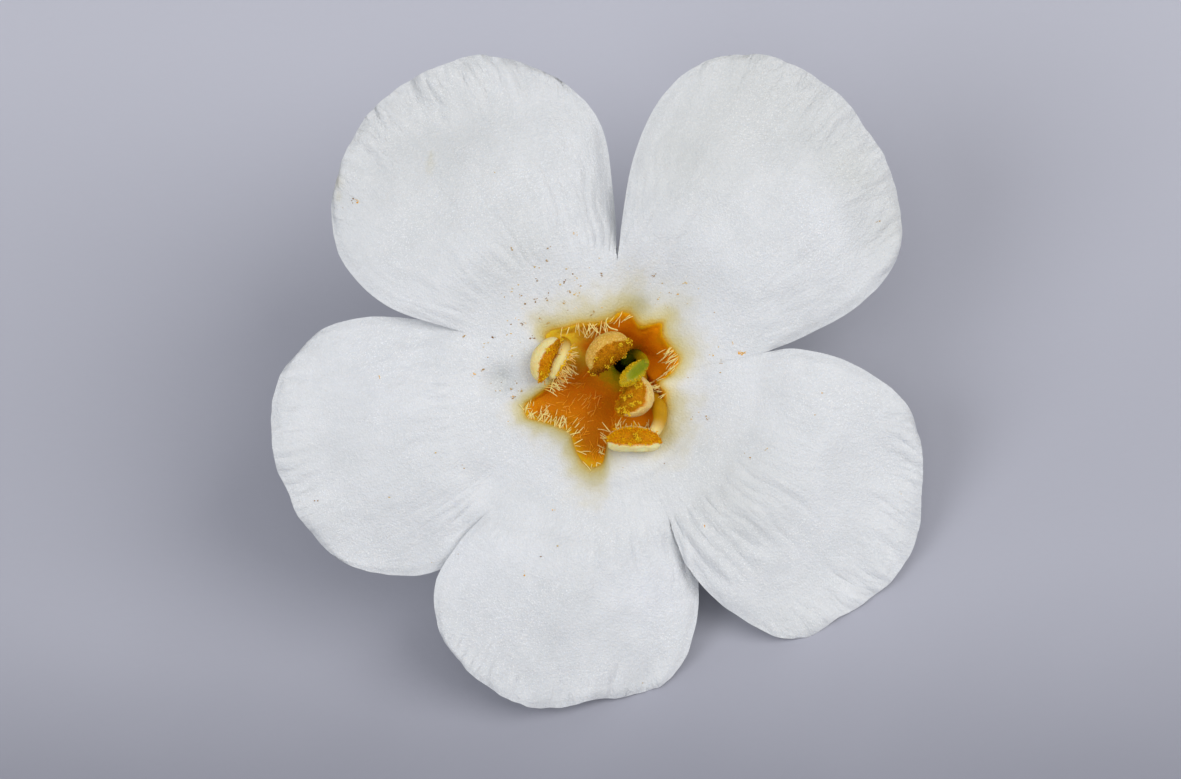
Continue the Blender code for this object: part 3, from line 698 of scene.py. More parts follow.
def petalMaterial():
    shade, edge, paintedHighlight = rgb(213, 216, 219), rgb(239, 240, 242), rgb(252, 253, 255)
    material, tree, place = newMaterial("petalWhite", 0.4, 0.4, (0.2, 0.25, (1.0, 0.9, 0.8)))
    streaks = grain(tree, alongVeins(tree, 5.0, 0.8), 1.0, 4.0, 0.6)
    clouds = grain(tree, place, 0.7, 4.0, 0.55)
    fine = grain(tree, place, 7.0, 3.0, 0.65)
    white = mixed(tree, span(tree, clouds, 0.35, 0.68, 0.0, 0.5), rgb(229, 231, 234), shade)
    white = mixed(tree, span(tree, streaks, 0.45, 0.75, 0.0, 0.25), white, shade)
    white = mixed(tree, span(tree, fine, 0.5, 0.72, 0.0, 0.4), white, edge)
    # tiny white dots mixed into the colour, fewer in broad patches: painted highlights
    paintedHighlights = span(tree, grain(tree, place, 22.0, 1.0), 0.58, 0.7, 0.0, 0.8)
    paintedHighlights = maths(tree, "MULTIPLY", paintedHighlights, span(tree, grain(tree, place, 0.45, 2.0), 0.4, 0.62, 0.25, 1.0))
    white = mixed(tree, paintedHighlights, white, paintedHighlight)
    # the yellow of the throat fades out over the face, and near the mouth the ramp is also darker: painted
    # shade of the lip
    uneven = span(tree, grain(tree, place, 2.0, 3.0), 0.25, 0.75, 0.65, 1.25)
    reach = maths(tree, "MULTIPLY", mark(tree, "haloReach"), uneven)
    fade = ramp(tree, maths(tree, "DIVIDE", reach, 1.6),
                (0.0, rgb(208, 156, 30)), (0.06, rgb(207, 182, 98)), (0.125, rgb(208, 194, 138)),
                (0.19, rgb(211, 201, 158)), (0.28, rgb(216, 209, 178)), (0.38, rgb(220, 215, 196)),
                (0.5, rgb(224, 221, 209)), (0.7, rgb(228, 226, 221)), (1.0, rgb(231, 232, 233)))
    colour = mixed(tree, span(tree, reach, 0.5, 1.6, 1.0, 0.0), white, fade)
    colour = mixed(tree, mark(tree, "stain"), colour, rgb(206, 192, 134))
    colour = mixed(tree, mark(tree, "lower"), colour, underside(tree, place, streaks))
    pleats = maths(tree, "MULTIPLY", grain(tree, alongVeins(tree, 7.0, 0.9), 1.0), mark(tree, "relief"))
    # the petals' colour carries the patches of painted shade and painted light
    return finished(material, withPaintedShadeAndLight(tree, colour), (pleats, 0.12, 0.5), (streaks, 0.06, 0.35),
                    (fine, 0.05, 0.4), (cells(tree, place, 14.0), 0.03, 0.5))


def funnelMaterial():
    material, tree, place = newMaterial("throatOrange", 0.75, 0.12, (0.25, 0.2, (1.0, 0.6, 0.2)))
    streaks = grain(tree, alongVeins(tree, 5.0, 0.8), 1.0, 4.0, 0.6)
    # the throat's colour carries the patches of painted shade and painted light
    inside, outside = withPaintedShadeAndLight(tree, throatColour(tree, place)), underside(tree, place, streaks)
    colour = mixed(tree, mark(tree, "lower"), inside, outside)
    return finished(material, colour, (grain(tree, place, 6.0, 3.0, 0.6), 0.05, 0.4),
                    (cells(tree, place, 14.0), 0.02, 0.4))


skinPoints, skinFaces, skinNormals, skinMarks, rowIndex = corollaSheet()
layerSize = len(skinPoints) // 2
throatGrid = skinPoints[rowIndex]  # upper side of the throat, as rows from the tube's foot to the ring
rimRow = throat["tubeRows"] + throat["floorRows"]
inFunnel = (skinFaces % layerSize < rowIndex[rimRow, 0] + rowIndex.shape[1]).all(axis=1)


def cutFromSkin(name, material, chosen):
    # the chosen faces of the corolla's skin as a piece of their own
    kept, faces = np.unique(skinFaces[chosen], return_inverse=True)
    marks = {mark: values[kept] for mark, values in skinMarks.items()}
    print(name, chosen.sum(), "faces")
    points, normals = skinPoints[kept], skinNormals[kept]
    return makePiece(name, points, faces.reshape(-1, 4), material, marks, normals)


petalSheet = cutFromSkin("petal_sheet", petalMaterial(), ~inFunnel)
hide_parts("corolla")
cutFromSkin("throat_funnel", funnelMaterial(), inFunnel)


print("stage 2: stamens")

# anthers: middle, bearing of the long axis, size, and where the pollen face looks, as a turn about that axis:
# 90 looks straight out of the flower, less looks to the clockwise side. wide: half the turn that the face
# takes. bend and ends: how bent and how blunt the bean is. pale: 0 tan shell, 1 cream shell. scorch: brown
# spots as (place along, turn, size along, size round, strength). fringe: turn and number of the threads of
# grains. filaments: a route from the wall to the anther, how thick the foot is, and how far up it is olive
stamens = {
    "left": {"at": (-1.98, 0.88, 0.62), "bearing": 65, "size": (1.57, 0.78, 0.8), "open": 128, "wide": 50,
             "bend": 0.08, "ends": 0.72, "pale": 0.8, "grains": 700, "clumps": 4, "fringe": (190, 6),
             "scorch": [(0.1, 168, 0.8, 12, 0.8), (0.75, 130, 0.2, 30, 0.4)], "thick": 0.25, "olive": 0.2,
             "route": [(-1.46, 1.4, -0.6), (-1.36, 1.32, 0.0), (-1.36, 1.16, 0.32), (-1.5, 0.86, 0.42),
                       (-1.66, 0.54, 0.4), (-1.78, 0.3, 0.34)]},
    "top": {"at": (0.07, 1.1, 0.6), "bearing": 40, "size": (1.64, 1.06, 0.86), "open": 150, "wide": 78,
            "bend": 0.08, "ends": 0.72, "pale": 0.0, "grains": 1700, "clumps": 10, "fringe": (192, 60),
            "scorch": [(-0.8, 185, 0.32, 70, 1.0), (-0.35, 190, 0.4, 26, 0.7), (0.3, 120, 0.3, 14, 0.3)],
            "thick": 0.19, "olive": 0.5,
            "route": [(0.35, 1.65, -1.2), (0.25, 1.55, -0.6), (0.12, 1.3, 0.04), (0.1, 1.2, 0.3)]},
    "right": {"at": (0.96, -0.38, 0.3), "bearing": 68, "size": (1.46, 1.14, 0.86), "open": 48, "wide": 80,
              "bend": -0.12, "ends": 0.72, "pale": 0.4, "grains": 1500, "clumps": 26, "fringe": (8, 30),
              "scorch": [(-0.5, 40, 0.2, 20, 0.5), (0.05, 22, 0.2, 16, 0.6), (0.4, 50, 0.15, 14, 0.5),
                         (-0.1, 62, 0.12, 12, 0.6)], "thick": 0.19, "olive": 0.6,
              "route": [(1.28, 0.35, -1.65), (1.22, 0.1, -0.9), (1.08, -0.25, -0.26), (1.02, -0.3, 0.0)]},
    "bottom": {"at": (0.96, -1.86, 0.6), "bearing": -1, "size": (1.76, 0.86, 0.8), "open": 58, "wide": 66,
               "bend": 0.05, "ends": 0.62, "pale": 1.0, "grains": 1100, "clumps": 3, "fringe": (0, 14),
               "scorch": [(-0.45, 78, 0.12, 14, 0.2), (0.02, 70, 0.16, 14, 0.4), (0.2, 84, 0.1, 10, 0.2),
                          (-0.15, 86, 0.1, 10, 0.2)], "thick": 0.28, "olive": 0.52,
               "route": [(1.52, -0.38, -0.75), (1.8, -0.75, -0.1), (1.84, -1.12, 0.18), (1.7, -1.48, 0.34),
                         (1.48, -1.72, 0.44)]},
}
antherLook = {"rings": 46, "sides": 60, "recess": 0.14, "lip": 0.06, "grainReach": (0.012, 0.028),
              "clumpGrains": 16, "stemSteps": 8, "stemSides": 14, "stemTaper": 0.4}
ballPoints, ballFaces = smallBall()


def antherMaterial():
    material, tree, place = newMaterial("antherSkin", 0.62, 0.12, (0.6, 0.28, (1.0, 0.7, 0.35)))
    patches = grain(tree, place, 3.5, 4.0, 0.6)
    spots = cells(tree, place, 15.0)
    tan = mixed(tree, span(tree, patches, 0.35, 0.65), rgb(232, 186, 84), rgb(208, 156, 58))
    tan = mixed(tree, span(tree, spots, 0.1, 0.6), rgb(244, 200, 112), tan)
    cream = mixed(tree, span(tree, patches, 0.35, 0.65), rgb(255, 242, 182), rgb(253, 228, 154))
    shell = mixed(tree, mark(tree, "pale"), tan, cream)
    pollen = mixed(tree, grain(tree, place, 7.0), rgb(204, 124, 0), rgb(240, 166, 0))
    colour = mixed(tree, mark(tree, "open"), shell, pollen)
    colour = mixed(tree, mark(tree, "scorch"), colour, rgb(118, 58, 0))
    return finished(material, colour, (spots, 0.03, 0.6), (patches, 0.06, 0.5))


def pollenMaterial():
    material, tree, place = newMaterial("pollenGrain", 0.7, 0.12, (0.3, 0.05, (1.0, 0.7, 0.3)))
    tone = span(tree, grain(tree, place, 6.0, 3.0), 0.35, 0.65)
    colour = mixed(tree, tone, rgb(226, 138, 0), rgb(252, 190, 0))
    colour = mixed(tree, mark(tree, "dull"), colour, rgb(184, 116, 0))
    colour = mixed(tree, mark(tree, "bright"), colour, rgb(255, 214, 40))
    colour = mixed(tree, mark(tree, "scorch"), colour, rgb(132, 68, 0))
    return finished(material, colour, (grain(tree, place, 60.0), 0.006, 0.5))


def filamentMaterial():
    material, tree, place = newMaterial("filamentCream", 0.5, 0.2, (0.45, 0.25, (1.0, 0.8, 0.4)))
    tone = span(tree, grain(tree, place, 3.0, 3.0), 0.3, 0.7)
    low = mixed(tree, tone, rgb(206, 152, 10), rgb(186, 138, 10))
    colour = mixed(tree, mark(tree, "tip"), low, rgb(250, 230, 156))
    return finished(material, colour, (grain(tree, place, 5.0, 3.0), 0.05, 0.5),
                    (cells(tree, place, 14.0), 0.015, 0.4))


antherSkin, pollenGrain, filamentCream = antherMaterial(), pollenMaterial(), filamentMaterial()


def turnApart(first, second):
    return (first - second + 180) % 360 - 180


def antherPoint(stamen, x, around, seed):
    # a point of the skin at x along (-1 to 1) and a turn round, with how open and how scorched it is there
    long, wide, deep = (size / 2 for size in stamen["size"])
    turn = math.radians(around)
    off = abs(turnApart(around, stamen["open"]))
    ragged = 7 * noise.noise(Vector((x * 6, around / 25, seed)))
    edge = stamen["wide"] * (1 - 0.45 * abs(x) ** 3) + ragged
    inside = float(smooth((edge - off) / 9))
    lip = math.exp(-(((off - edge) / 7) ** 2))
    rough = 0.035 * noise.noise(Vector((x * 9, math.cos(turn) * 4, math.sin(turn) * 4 + seed)))
    rough += 0.05 * noise.noise(Vector((x * 2.5, math.cos(turn) * 1.5, math.sin(turn) * 1.5 + seed)))
    skin = 1 - antherLook["recess"] * inside + antherLook["lip"] * lip + rough * (1 + inside)
    full = (1 - x * x) ** (stamen["ends"] / 2)
    bend = stamen["bend"] * (1 - x * x * 2)
    local = (x * long, wide * full * skin * math.cos(turn) + bend, deep * full * skin * math.sin(turn))
    scorch = 0.0
    for alongSpot, aroundSpot, sizeAlong, sizeRound, strength in stamen["scorch"]:
        apart = turnApart(around, aroundSpot) / sizeRound
        scorch += strength * math.exp(-(((x - alongSpot) / sizeAlong) ** 2) - apart**2) * inside
    turned = Matrix.Rotation(math.radians(stamen["bearing"]), 3, "Z")
    return Vector(stamen["at"]) + turned @ Vector(local), inside, min(1, scorch)


def antherShape(stamen, seed):
    # bean with a recessed, rough pollen face that a lip runs round
    rings, sides = antherLook["rings"], antherLook["sides"]
    skin = [antherPoint(stamen, -math.cos(math.pi * ring / rings), 360 * k / sides, seed)
            for ring in range(1, rings) for k in range(sides)]
    skin += [(antherPoint(stamen, x, 0, seed)[0], 0.0, 0.0) for x in (-1, 1)]
    points, isOpen, scorch = zip(*skin)
    return np.array([tuple(p) for p in points]), closedFaces(rings - 1, sides), isOpen, scorch


def pollenOn(stamen, points, isOpen, scorch, seed, rng):
    # grains strewn over the open face, some standing proud in clumps, and threads of grains along one edge
    heap = Heap()
    middle = np.array(stamen["at"])
    chosen = [k for k, share in enumerate(isOpen) if share > 0.6]
    dull = 0.8 * (1 - stamen["pale"])

    def grainAt(place, brown, scale=1.0, bright=0.0):
        size = rng.uniform(*antherLook["grainReach"]) * scale
        stretch = np.array([rng.uniform(0.8, 1.25) for _ in range(3)])
        heap.add(place + ballPoints * size * stretch, ballFaces, scorch=brown, bright=bright, dull=dull)

    for _ in range(stamen["grains"]):
        k = rng.choice(chosen)
        aside = jitter(rng, 0.022)
        grainAt(points[k] + unit(points[k] - middle) * rng.uniform(-0.01, 0.03) + aside, scorch[k])
    for _ in range(stamen["clumps"]):
        k = rng.choice(chosen)
        for _ in range(antherLook["clumpGrains"]):
            aside = jitter(rng, 0.04)
            place = points[k] + unit(points[k] - middle) * rng.uniform(0.02, 0.09) + aside
            grainAt(place, 0.3 * scorch[k], 1.15, 0.8)
    around, count = stamen["fringe"]
    for _ in range(count):
        at, _, brown = antherPoint(stamen, rng.uniform(-0.9, 0.9), around + rng.gauss(0, 10), seed)
        place = np.array(at)
        heading = unit(unit(place - middle) + jitter(rng, 0.4))
        for _ in range(rng.randint(3, 6)):
            grainAt(place, brown, 0.9)
            place = place + heading * 0.024 + jitter(rng, 0.006)
    return heap


def filamentShape(stamen):
    # a stem that thins towards its anther, with how far up each point is
    route = throughPoints(stamen["route"], antherLook["stemSteps"])
    radii = stamen["thick"] * (1.05 - antherLook["stemTaper"] * np.linspace(0, 1, len(route)))
    points, faces = tube(route, radii, antherLook["stemSides"])
    up = [k // antherLook["stemSides"] / len(route) for k in range(len(points) - 2)]
    tip = [float(smooth((share - stamen["olive"]) / 0.35)) for share in up]
    return route, points, faces, tip + [0.0, 1.0]


rng = random.Random(11)
filamentRoutes = {}
for number, (name, stamen) in enumerate(stamens.items()):
    seed = 3.7 * number
    points, faces, isOpen, scorch = antherShape(stamen, seed)
    marks = {"open": isOpen, "scorch": scorch, "pale": np.full(len(points), stamen["pale"])}
    skin = makePiece("anther_" + name + "_skin", points, faces, antherSkin, marks)
    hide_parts("anther_" + name)
    heap = pollenOn(stamen, points, isOpen, scorch, seed, rng)
    makePiece("pollen_" + name, heap.points, heap.faces, pollenGrain, heap.marks)
    filamentRoutes[name], points, faces, tip = filamentShape(stamen)
    stem = makePiece("filament_" + name + "_stem", points, faces, filamentCream, {"tip": tip})
    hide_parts("filament_" + name)


print("stage 3: pistil")

pistilLook = {"styleReach": 0.17, "stigmaRoot": (1.3, 0.7, 0.5), "stigmaTip": (0.5, -0.02, 1.25), "wide": 0.3,
              "ovaryWide": 0.5, "ovaryLong": 1.5, "ovaryFoot": 0.05, "papillae": 260, "styleSides": 14,
              "rings": 30, "sides": 28, "behind": 0.12,
              "styleRoute": [(0.75, 0.85, -2.3), (0.99, 1.06, -1.5), (1.2, 0.95, -0.75), (1.31, 0.78, -0.1)]}


def axisPoint(along):
    # a point on the tube's middle line, so far up from its foot
    lean = Vector((*throat["lean"], -1.0))
    foot = Vector((*tubeMiddle(throat["tubeFoot"]), -throat["tubeFoot"]))
    return foot - lean.normalized() * along


def pistilMaterial():
    material, tree, place = newMaterial("stigmaLime", 0.45, 0.25, (0.4, 0.2, (0.8, 1.0, 0.3)))
    green = mixed(tree, grain(tree, place, 5.0, 3.0), rgb(116, 132, 0), rgb(156, 158, 0))
    colour = mixed(tree, mark(tree, "yellow"), green, rgb(230, 184, 0))
    # deep in the tube the style is painted dark green: painted shade
    colour = mixed(tree, mark(tree, "deep"), colour, rgb(52, 76, 0))
    return finished(material, colour, (cells(tree, place, 16.0), 0.015, 0.5))


def styleShape(root):
    # the ovary in the tube's foot and the thin style that bends up from it to the stigma
    thin, foot, long = pistilLook["styleReach"], pistilLook["ovaryFoot"], pistilLook["ovaryLong"]
    shares = [k / 7 for k in range(8)]
    route = [tuple(axisPoint(foot + long * share)) for share in shares]
    swelling = pistilLook["ovaryWide"] - thin
    radii = [thin + swelling * math.sin(math.pi * (0.2 + 0.8 * share)) for share in shares]
    style = throughPoints([route[-1], axisPoint(2.4), *pistilLook["styleRoute"], root], 8)[1:]
    return tube(route + [tuple(p) for p in style], radii + [thin] * len(style), pistilLook["styleSides"])


def stigmaShape(root, tip):
    # a tongue: broad, a groove along its top, its edge rounded; with how yellow each point is
    ahead = (tip - root).normalized()
    side = ahead.cross(Vector((0, 0, 1))).normalized()
    up = side.cross(ahead)
    rings, sides, behind = pistilLook["rings"], pistilLook["sides"], pistilLook["behind"]
    points, yellow = [], []
    for t in (ring / rings for ring in range(1, rings)):
        arch = 0.16 * math.sin(math.pi * t)
        half = pistilLook["wide"] * (0.62 + 0.38 * float(smooth(t * 1.6)))
        half *= math.sin(math.pi * min(t * 0.93 + 0.07, 1)) ** 0.35
        half *= 1.0 if t < 0.75 else math.sqrt(max(0.0, 1 - ((t - 0.75) / 0.26) ** 2))
        for turn in (2 * math.pi * k / sides for k in range(sides)):
            x, z = half * math.cos(turn), 0.62 * half * math.sin(turn)
            groove = 0.13 * math.exp(-((x / 0.11) ** 2)) * max(0.0, math.sin(turn))
            groove *= math.sin(math.pi * min(t * 1.15, 1))
            at = root.lerp(tip, (1 + behind) * t - behind) + up * (arch + z - groove) + side * x
            points.append(tuple(at))
            atEdge, atTip = np.clip(abs(x) / 0.24, 0, 1) ** 2, smooth((t - 0.7) / 0.2)
            yellow.append(float(atEdge * 0.8 + atTip * 0.7 - 0.15))
    points += [tuple(root.lerp(tip, -behind)), tuple(root.lerp(tip, 1.0))]
    return np.array(points), closedFaces(rings - 1, sides), yellow + [0.5, 0.5]


def buildPistil():
    heap = Heap()
    root, tip = Vector(pistilLook["stigmaRoot"]), Vector(pistilLook["stigmaTip"])
    points, faces = styleShape(root)
    # the deeper in the tube, the less yellow the style and the darker: the darkening is painted shade
    sunk = [float(smooth((-0.3 - point[2]) / 0.95)) for point in points]
    heap.add(points, faces, yellow=[0.3 * (1 - s) for s in sunk], deep=sunk)
    points, faces, yellow = stigmaShape(root, tip)
    heap.add(points.tolist(), faces, yellow=[min(1.0, max(0.0, y)) for y in yellow], deep=0.0)
    middle = np.array(root.lerp(tip, 0.5))
    rng = random.Random(5)
    ripe = [k for k, y in enumerate(yellow[:-2]) if y > 0.25]
    for _ in range(pistilLook["papillae"]):
        at = points[rng.choice(ripe)]
        bead = at + unit(at - middle) * 0.01 + ballPoints * rng.uniform(0.02, 0.036)
        heap.add(bead, ballFaces, yellow=1.0, deep=0.0)
    return heap


heap = buildPistil()
pistil = makePiece("pistil_and_stigma", heap.points, heap.faces, pistilMaterial(), heap.marks)
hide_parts("pistil")


print("stage 4: hairs and pollen specks")

# tufts on the mouth's edge: bearings they grow between, how many, length, and the bearing they lean towards
tufts = [
    {"between": (90, 116), "count": 17, "long": 0.42, "towards": 268, "spread": 22, "rise": 0.3},
    {"between": (66, 86), "count": 9, "long": 0.3, "towards": 235, "spread": 40, "rise": 0.3},
    {"between": (110, 130), "count": 6, "long": 0.34, "towards": 280, "spread": 30, "rise": 0.3},
    {"between": (150, 186), "count": 40, "long": 0.4, "towards": -32, "spread": 28, "rise": 0.5},
    {"between": (196, 232), "count": 54, "long": 0.34, "towards": 72, "spread": 28, "rise": 0.5},
    {"between": (234, 254), "count": 9, "long": 0.36, "towards": 10, "spread": 26, "rise": 0.4},
    {"between": (256, 268), "count": 6, "long": 0.24, "towards": 80, "spread": 40, "rise": 0.4},
    {"between": (266, 276), "count": 10, "long": 0.36, "towards": 150, "spread": 28, "rise": 0.4},
    {"between": (280, 316), "count": 32, "long": 0.36, "towards": 92, "spread": 24, "rise": 0.6},
    {"between": (350, 368), "count": 16, "long": 0.34, "towards": 200, "spread": 22, "rise": 0.4},
    {"between": (368, 390), "count": 26, "long": 0.4, "towards": 208, "spread": 14, "rise": 0.35},
]
hairLook = {"thick": 0.021, "steps": 7, "sides": 6, "sag": 0.2, "curl": 0.35, "sunk": 0.02,
            "lying": 130, "lyingLong": (0.16, 0.34), "lyingBearings": (185, 280),
            "bristles": 38, "bristleLong": (0.2, 0.42), "strandThick": 0.022,
            "strand": [(0.12, 2.3, -0.2), (0.03, 2.11, 0.05), (0.16, 1.92, 0.25), (0.42, 1.83, 0.3)]}
beads = {"count": 150, "away": (0.17, 0.25), "size": (0.02, 0.04)}


def hairMaterial():
    material, tree, place = newMaterial("hairCream", 0.6, 0.12)
    tipColour = mixed(tree, grain(tree, place, 6.0), rgb(255, 246, 186), rgb(246, 222, 104))
    colour = mixed(tree, mark(tree, "root"), tipColour, rgb(240, 158, 0))
    return finished(material, colour, (grain(tree, place, 40.0), 0.004, 0.4))


def growHair(heap, base, direction, long, thick, rng, rootShare=1.0, golden=0.0):
    # a bent, tapering hair; rootShare and golden are how yellow it is at the root and all along
    steps, sides = hairLook["steps"], hairLook["sides"]
    direction = Vector(direction).normalized()
    curl = direction.cross(Vector(jitter(rng, 1))).normalized()
    bend = curl * rng.uniform(0, hairLook["curl"]) * long + Vector((0, 0, -hairLook["sag"] * long))
    route = [Vector(base) + direction * long * k / steps + bend * (k / steps) ** 2 for k in range(steps + 1)]
    points, faces = tube(route, [thick * (1 - 0.5 * k / steps) for k in range(steps + 1)], sides)
    roots = [max(golden, rootShare * (1 - (k // sides) / steps * 2.6)) for k in range(len(points) - 2)]
    heap.add(points, faces, root=roots + [max(golden, rootShare), golden])


def columnAt(bearing):
    # column of the throat's grid that runs at this bearing
    return int(np.argmin(np.abs(turnApart(bearingOf(throatGrid[rimRow]), bearing))))


def growTufts(heap, rng):
    for tuft in tufts:
        for _ in range(tuft["count"]):
            row = rimRow + rng.choice((-3, -2, -1, 0, 0, 1, 2))
            base = throatGrid[row, columnAt(rng.uniform(*tuft["between"]))]
            towards = math.radians(tuft["towards"] + rng.gauss(0, tuft["spread"]))
            long = tuft["long"] * rng.uniform(0.55, 1.3)
            heading = (math.cos(towards), math.sin(towards), tuft["rise"] * rng.uniform(0.3, 1.5))
            thick = hairLook["thick"] * rng.uniform(0.75, 1.15)
            base = base - np.array([0, 0, hairLook["sunk"]])
            growHair(heap, base, heading, long, thick, rng, rng.uniform(0.3, 1.0))


def growLying(heap, rng):
    # golden hairs that lie on the orange floor, the denser the nearer to the mouth's edge
    for _ in range(hairLook["lying"]):
        row = rimRow - 1 - int(rng.random() ** 1.8 * throat["floorRows"] * 0.6)
        column = columnAt(rng.uniform(*hairLook["lyingBearings"]))
        base, ahead = throatGrid[row, column], throatGrid[row - 2, column]
        heading = Vector(ahead - base).normalized()
        heading.rotate(Matrix.Rotation(math.radians(rng.gauss(0, 35)), 3, "Z"))
        growHair(heap, base, heading + Vector((0, 0, 0.25)), rng.uniform(*hairLook["lyingLong"]),
                 hairLook["thick"] * 0.8, rng, 1.0, rng.uniform(0.8, 1.0))


def growBristles(heap, rng, ridge):
    # the left stamen's cream ridge bristles down its inner side
    for _ in range(hairLook["bristles"]):
        base = ridge[rng.randrange(16, len(ridge))]
        towards = math.radians(-30 + rng.gauss(0, 26))
        inner = np.array([math.cos(towards), math.sin(towards), 0.0])
        base = base + inner * 0.16 + np.array([0, 0, rng.uniform(-0.06, 0.06)])
        growHair(heap, base, (*inner[:2], rng.uniform(-0.2, 0.4)), rng.uniform(*hairLook["bristleLong"]),
                 hairLook["thick"] * rng.uniform(0.8, 1.2), rng, 1.0, rng.choice((0.1, 0.5, 0.8)))


hairs = Heap()
rng = random.Random(21)
ridge = filamentRoutes["left"]
growTufts(hairs, rng)
growLying(hairs, rng)
growBristles(hairs, rng, ridge)
strand = throughPoints(hairLook["strand"], 6)  # a long cobweb hair over the upper edge
points, faces = tube(strand, [hairLook["strandThick"]] * len(strand), hairLook["sides"])
hairs.add(points, faces, root=0.0)
makePiece("throat_hairs", hairs.points, hairs.faces, hairMaterial(), hairs.marks)

papillae = Heap()
for _ in range(beads["count"]):
    # yellow beads on the upper end of the ridge
    at = ridge[rng.randrange(10, 36)]
    towards = math.radians(rng.uniform(-80, 20))
    outward = np.array([math.cos(towards), math.sin(towards), rng.uniform(0.0, 0.9)])
    bead = at + unit(outward) * rng.uniform(*beads["away"]) + ballPoints * rng.uniform(*beads["size"])
    papillae.add(bead, ballFaces, scorch=0.0, bright=0.5, dull=0.0)
makePiece("ridge_papillae", papillae.points, papillae.faces, pollenGrain, papillae.marks)

# specks of pollen and dust: where they gather, as (x, y, spread, number)
specks = {"size": (0.009, 0.026),
          "near": ((-1.4, 3.1, 1.1, 40), (-2.9, 1.3, 0.6, 26), (-3.4, -0.3, 0.5, 12), (2.4, 2.6, 0.6, 14),
                   (3.2, 0.4, 2.4, 14), (-1.0, -1.0, 5.5, 30), (-8.3, 6.2, 0.3, 3), (4.6, 1.1, 0.06, 6))}


def surfaceHeight(at):
    # top of the corolla's sheet at a place on its face, or None beside it
    near = np.hypot(skinPoints[:layerSize, 0] - at[0], skinPoints[:layerSize, 1] - at[1]) < 0.12
    return float(skinPoints[:layerSize][near, 2].max()) if near.any() else None


def speckMaterial():
    material, tree, place = newMaterial("pollenSpeck", 0.6, 0.3)
    colour = ramp(tree, mark(tree, "tone"), (0.0, rgb(255, 188, 20)), (0.3, rgb(234, 200, 120)),
                  (0.7, rgb(202, 164, 100)), (1.0, rgb(146, 106, 58)))
    return finished(material, colour, (grain(tree, place, 50.0), 0.006, 0.4))


def strewSpecks(heap, rng, x, y, spread, count):
    for _ in range(count):
        at = np.array([rng.gauss(x, spread), rng.gauss(y, spread * 0.7)])
        if np.linalg.norm(at) < mouthReach(bearingOf(at)) + 0.15:
            continue
        tone = 0.0 if spread < 0.1 else rng.random()
        for _ in range(rng.choice((1, 1, 1, 2, 3, 5))):
            size = rng.uniform(*specks["size"])
            place = at + jitter(rng, 0.04, 2)
            stretch = np.array([rng.uniform(0.8, 1.8), rng.uniform(0.7, 1.4), 0.5])
            height = surfaceHeight(place)
            if height is not None:
                heap.add(np.array([*place, height]) + ballPoints * size * stretch, ballFaces, tone=tone)


heap, rng = Heap(), random.Random(8)
for x, y, spread, count in specks["near"]:
    strewSpecks(heap, rng, x, y, spread, count)
makePiece("pollen_specks", heap.points, heap.faces, speckMaterial(), heap.marks)


print("stage 5: calyx and stalk")

calyxLook = {"lobes": 5, "firstLobe": 36, "cup": 1.3, "lobe": 3.1, "inner": 1.56, "wall": 0.3, "gap": 0.14,
             "around": 200, "rows": 34, "hairs": 420, "hairThick": 0.014, "hairLong": (0.2, 0.42),
             # the foot: how far its outside draws in and goes down, rings as shares of the reach and the depth
             "footRound": 0.45, "footDeep": 0.45, "footRings": ((0.6, 0.45), (0.34, 0.85)), "footRib": 0.2}


def leafMaterial(name, dark, light, rib):
    material, tree, place = newMaterial(name, 0.5, 0.4, (0.2, 0.3, (0.6, 1.0, 0.3)))
    tone = grain(tree, place, 1.6, 4.0)
    colour = mixed(tree, maths(tree, "MULTIPLY", mark(tree, "rib"), 0.6), mixed(tree, tone, dark, light), rib)
    return finished(material, colour, (cells(tree, place, 9.0), 0.02, 0.5), (tone, 0.05, 0.4))


calyxGreen = leafMaterial("calyxGreen", rgb(66, 96, 32), rgb(120, 148, 66), rgb(160, 180, 104))
stalkGreen = leafMaterial("stalkGreen", rgb(88, 118, 44), rgb(140, 158, 78), rgb(176, 168, 110))


def calyxWall(inside):
    # rows of one side of the calyx, from the foot to the points of the lobes, and how near a midrib they are
    around, rows = calyxLook["around"], calyxLook["rows"]
    grid, ribs = np.zeros((rows + 1, around, 3)), np.zeros((rows + 1, around))
    for k in range(around):
        bearing = 360 * k / around
        # 0 on a lobe's midrib, -1 and 1 in the notches beside it
        phase = ((bearing - calyxLook["firstLobe"]) / (360 / calyxLook["lobes"]) + 0.5) % 1 * 2 - 1
        share = 1 - abs(phase)
        top = calyxLook["cup"] + (calyxLook["lobe"] - calyxLook["cup"]) * float(smooth(share * 0.98)) ** 0.8
        rib = math.exp(-((phase / 0.12) ** 2))
        for row in range(rows + 1):
            up = top * row / rows
            depth = throat["tubeFoot"] + calyxLook["gap"] - up
            reach = calyxLook["inner"] + 0.05 * math.sin(math.pi * up / calyxLook["lobe"])
            reach += 0.16 * max(0.0, up / calyxLook["lobe"]) ** 3
            if not inside:
                thin = 1 - 0.75 * float(smooth((up - 0.8 * top) / (0.2 * top + 0.01)))
                reach += calyxLook["wall"] * thin + 0.1 * rib * (1 - row / rows) ** 0.5 + 0.05
                reach -= calyxLook["footRound"] * max(0.0, 1 - up / 0.75) ** 2
            grid[row, k] = (*(polar(bearing, reach) + tubeMiddle(depth)), -depth)
            ribs[row, k] = rib
    return grid, ribs


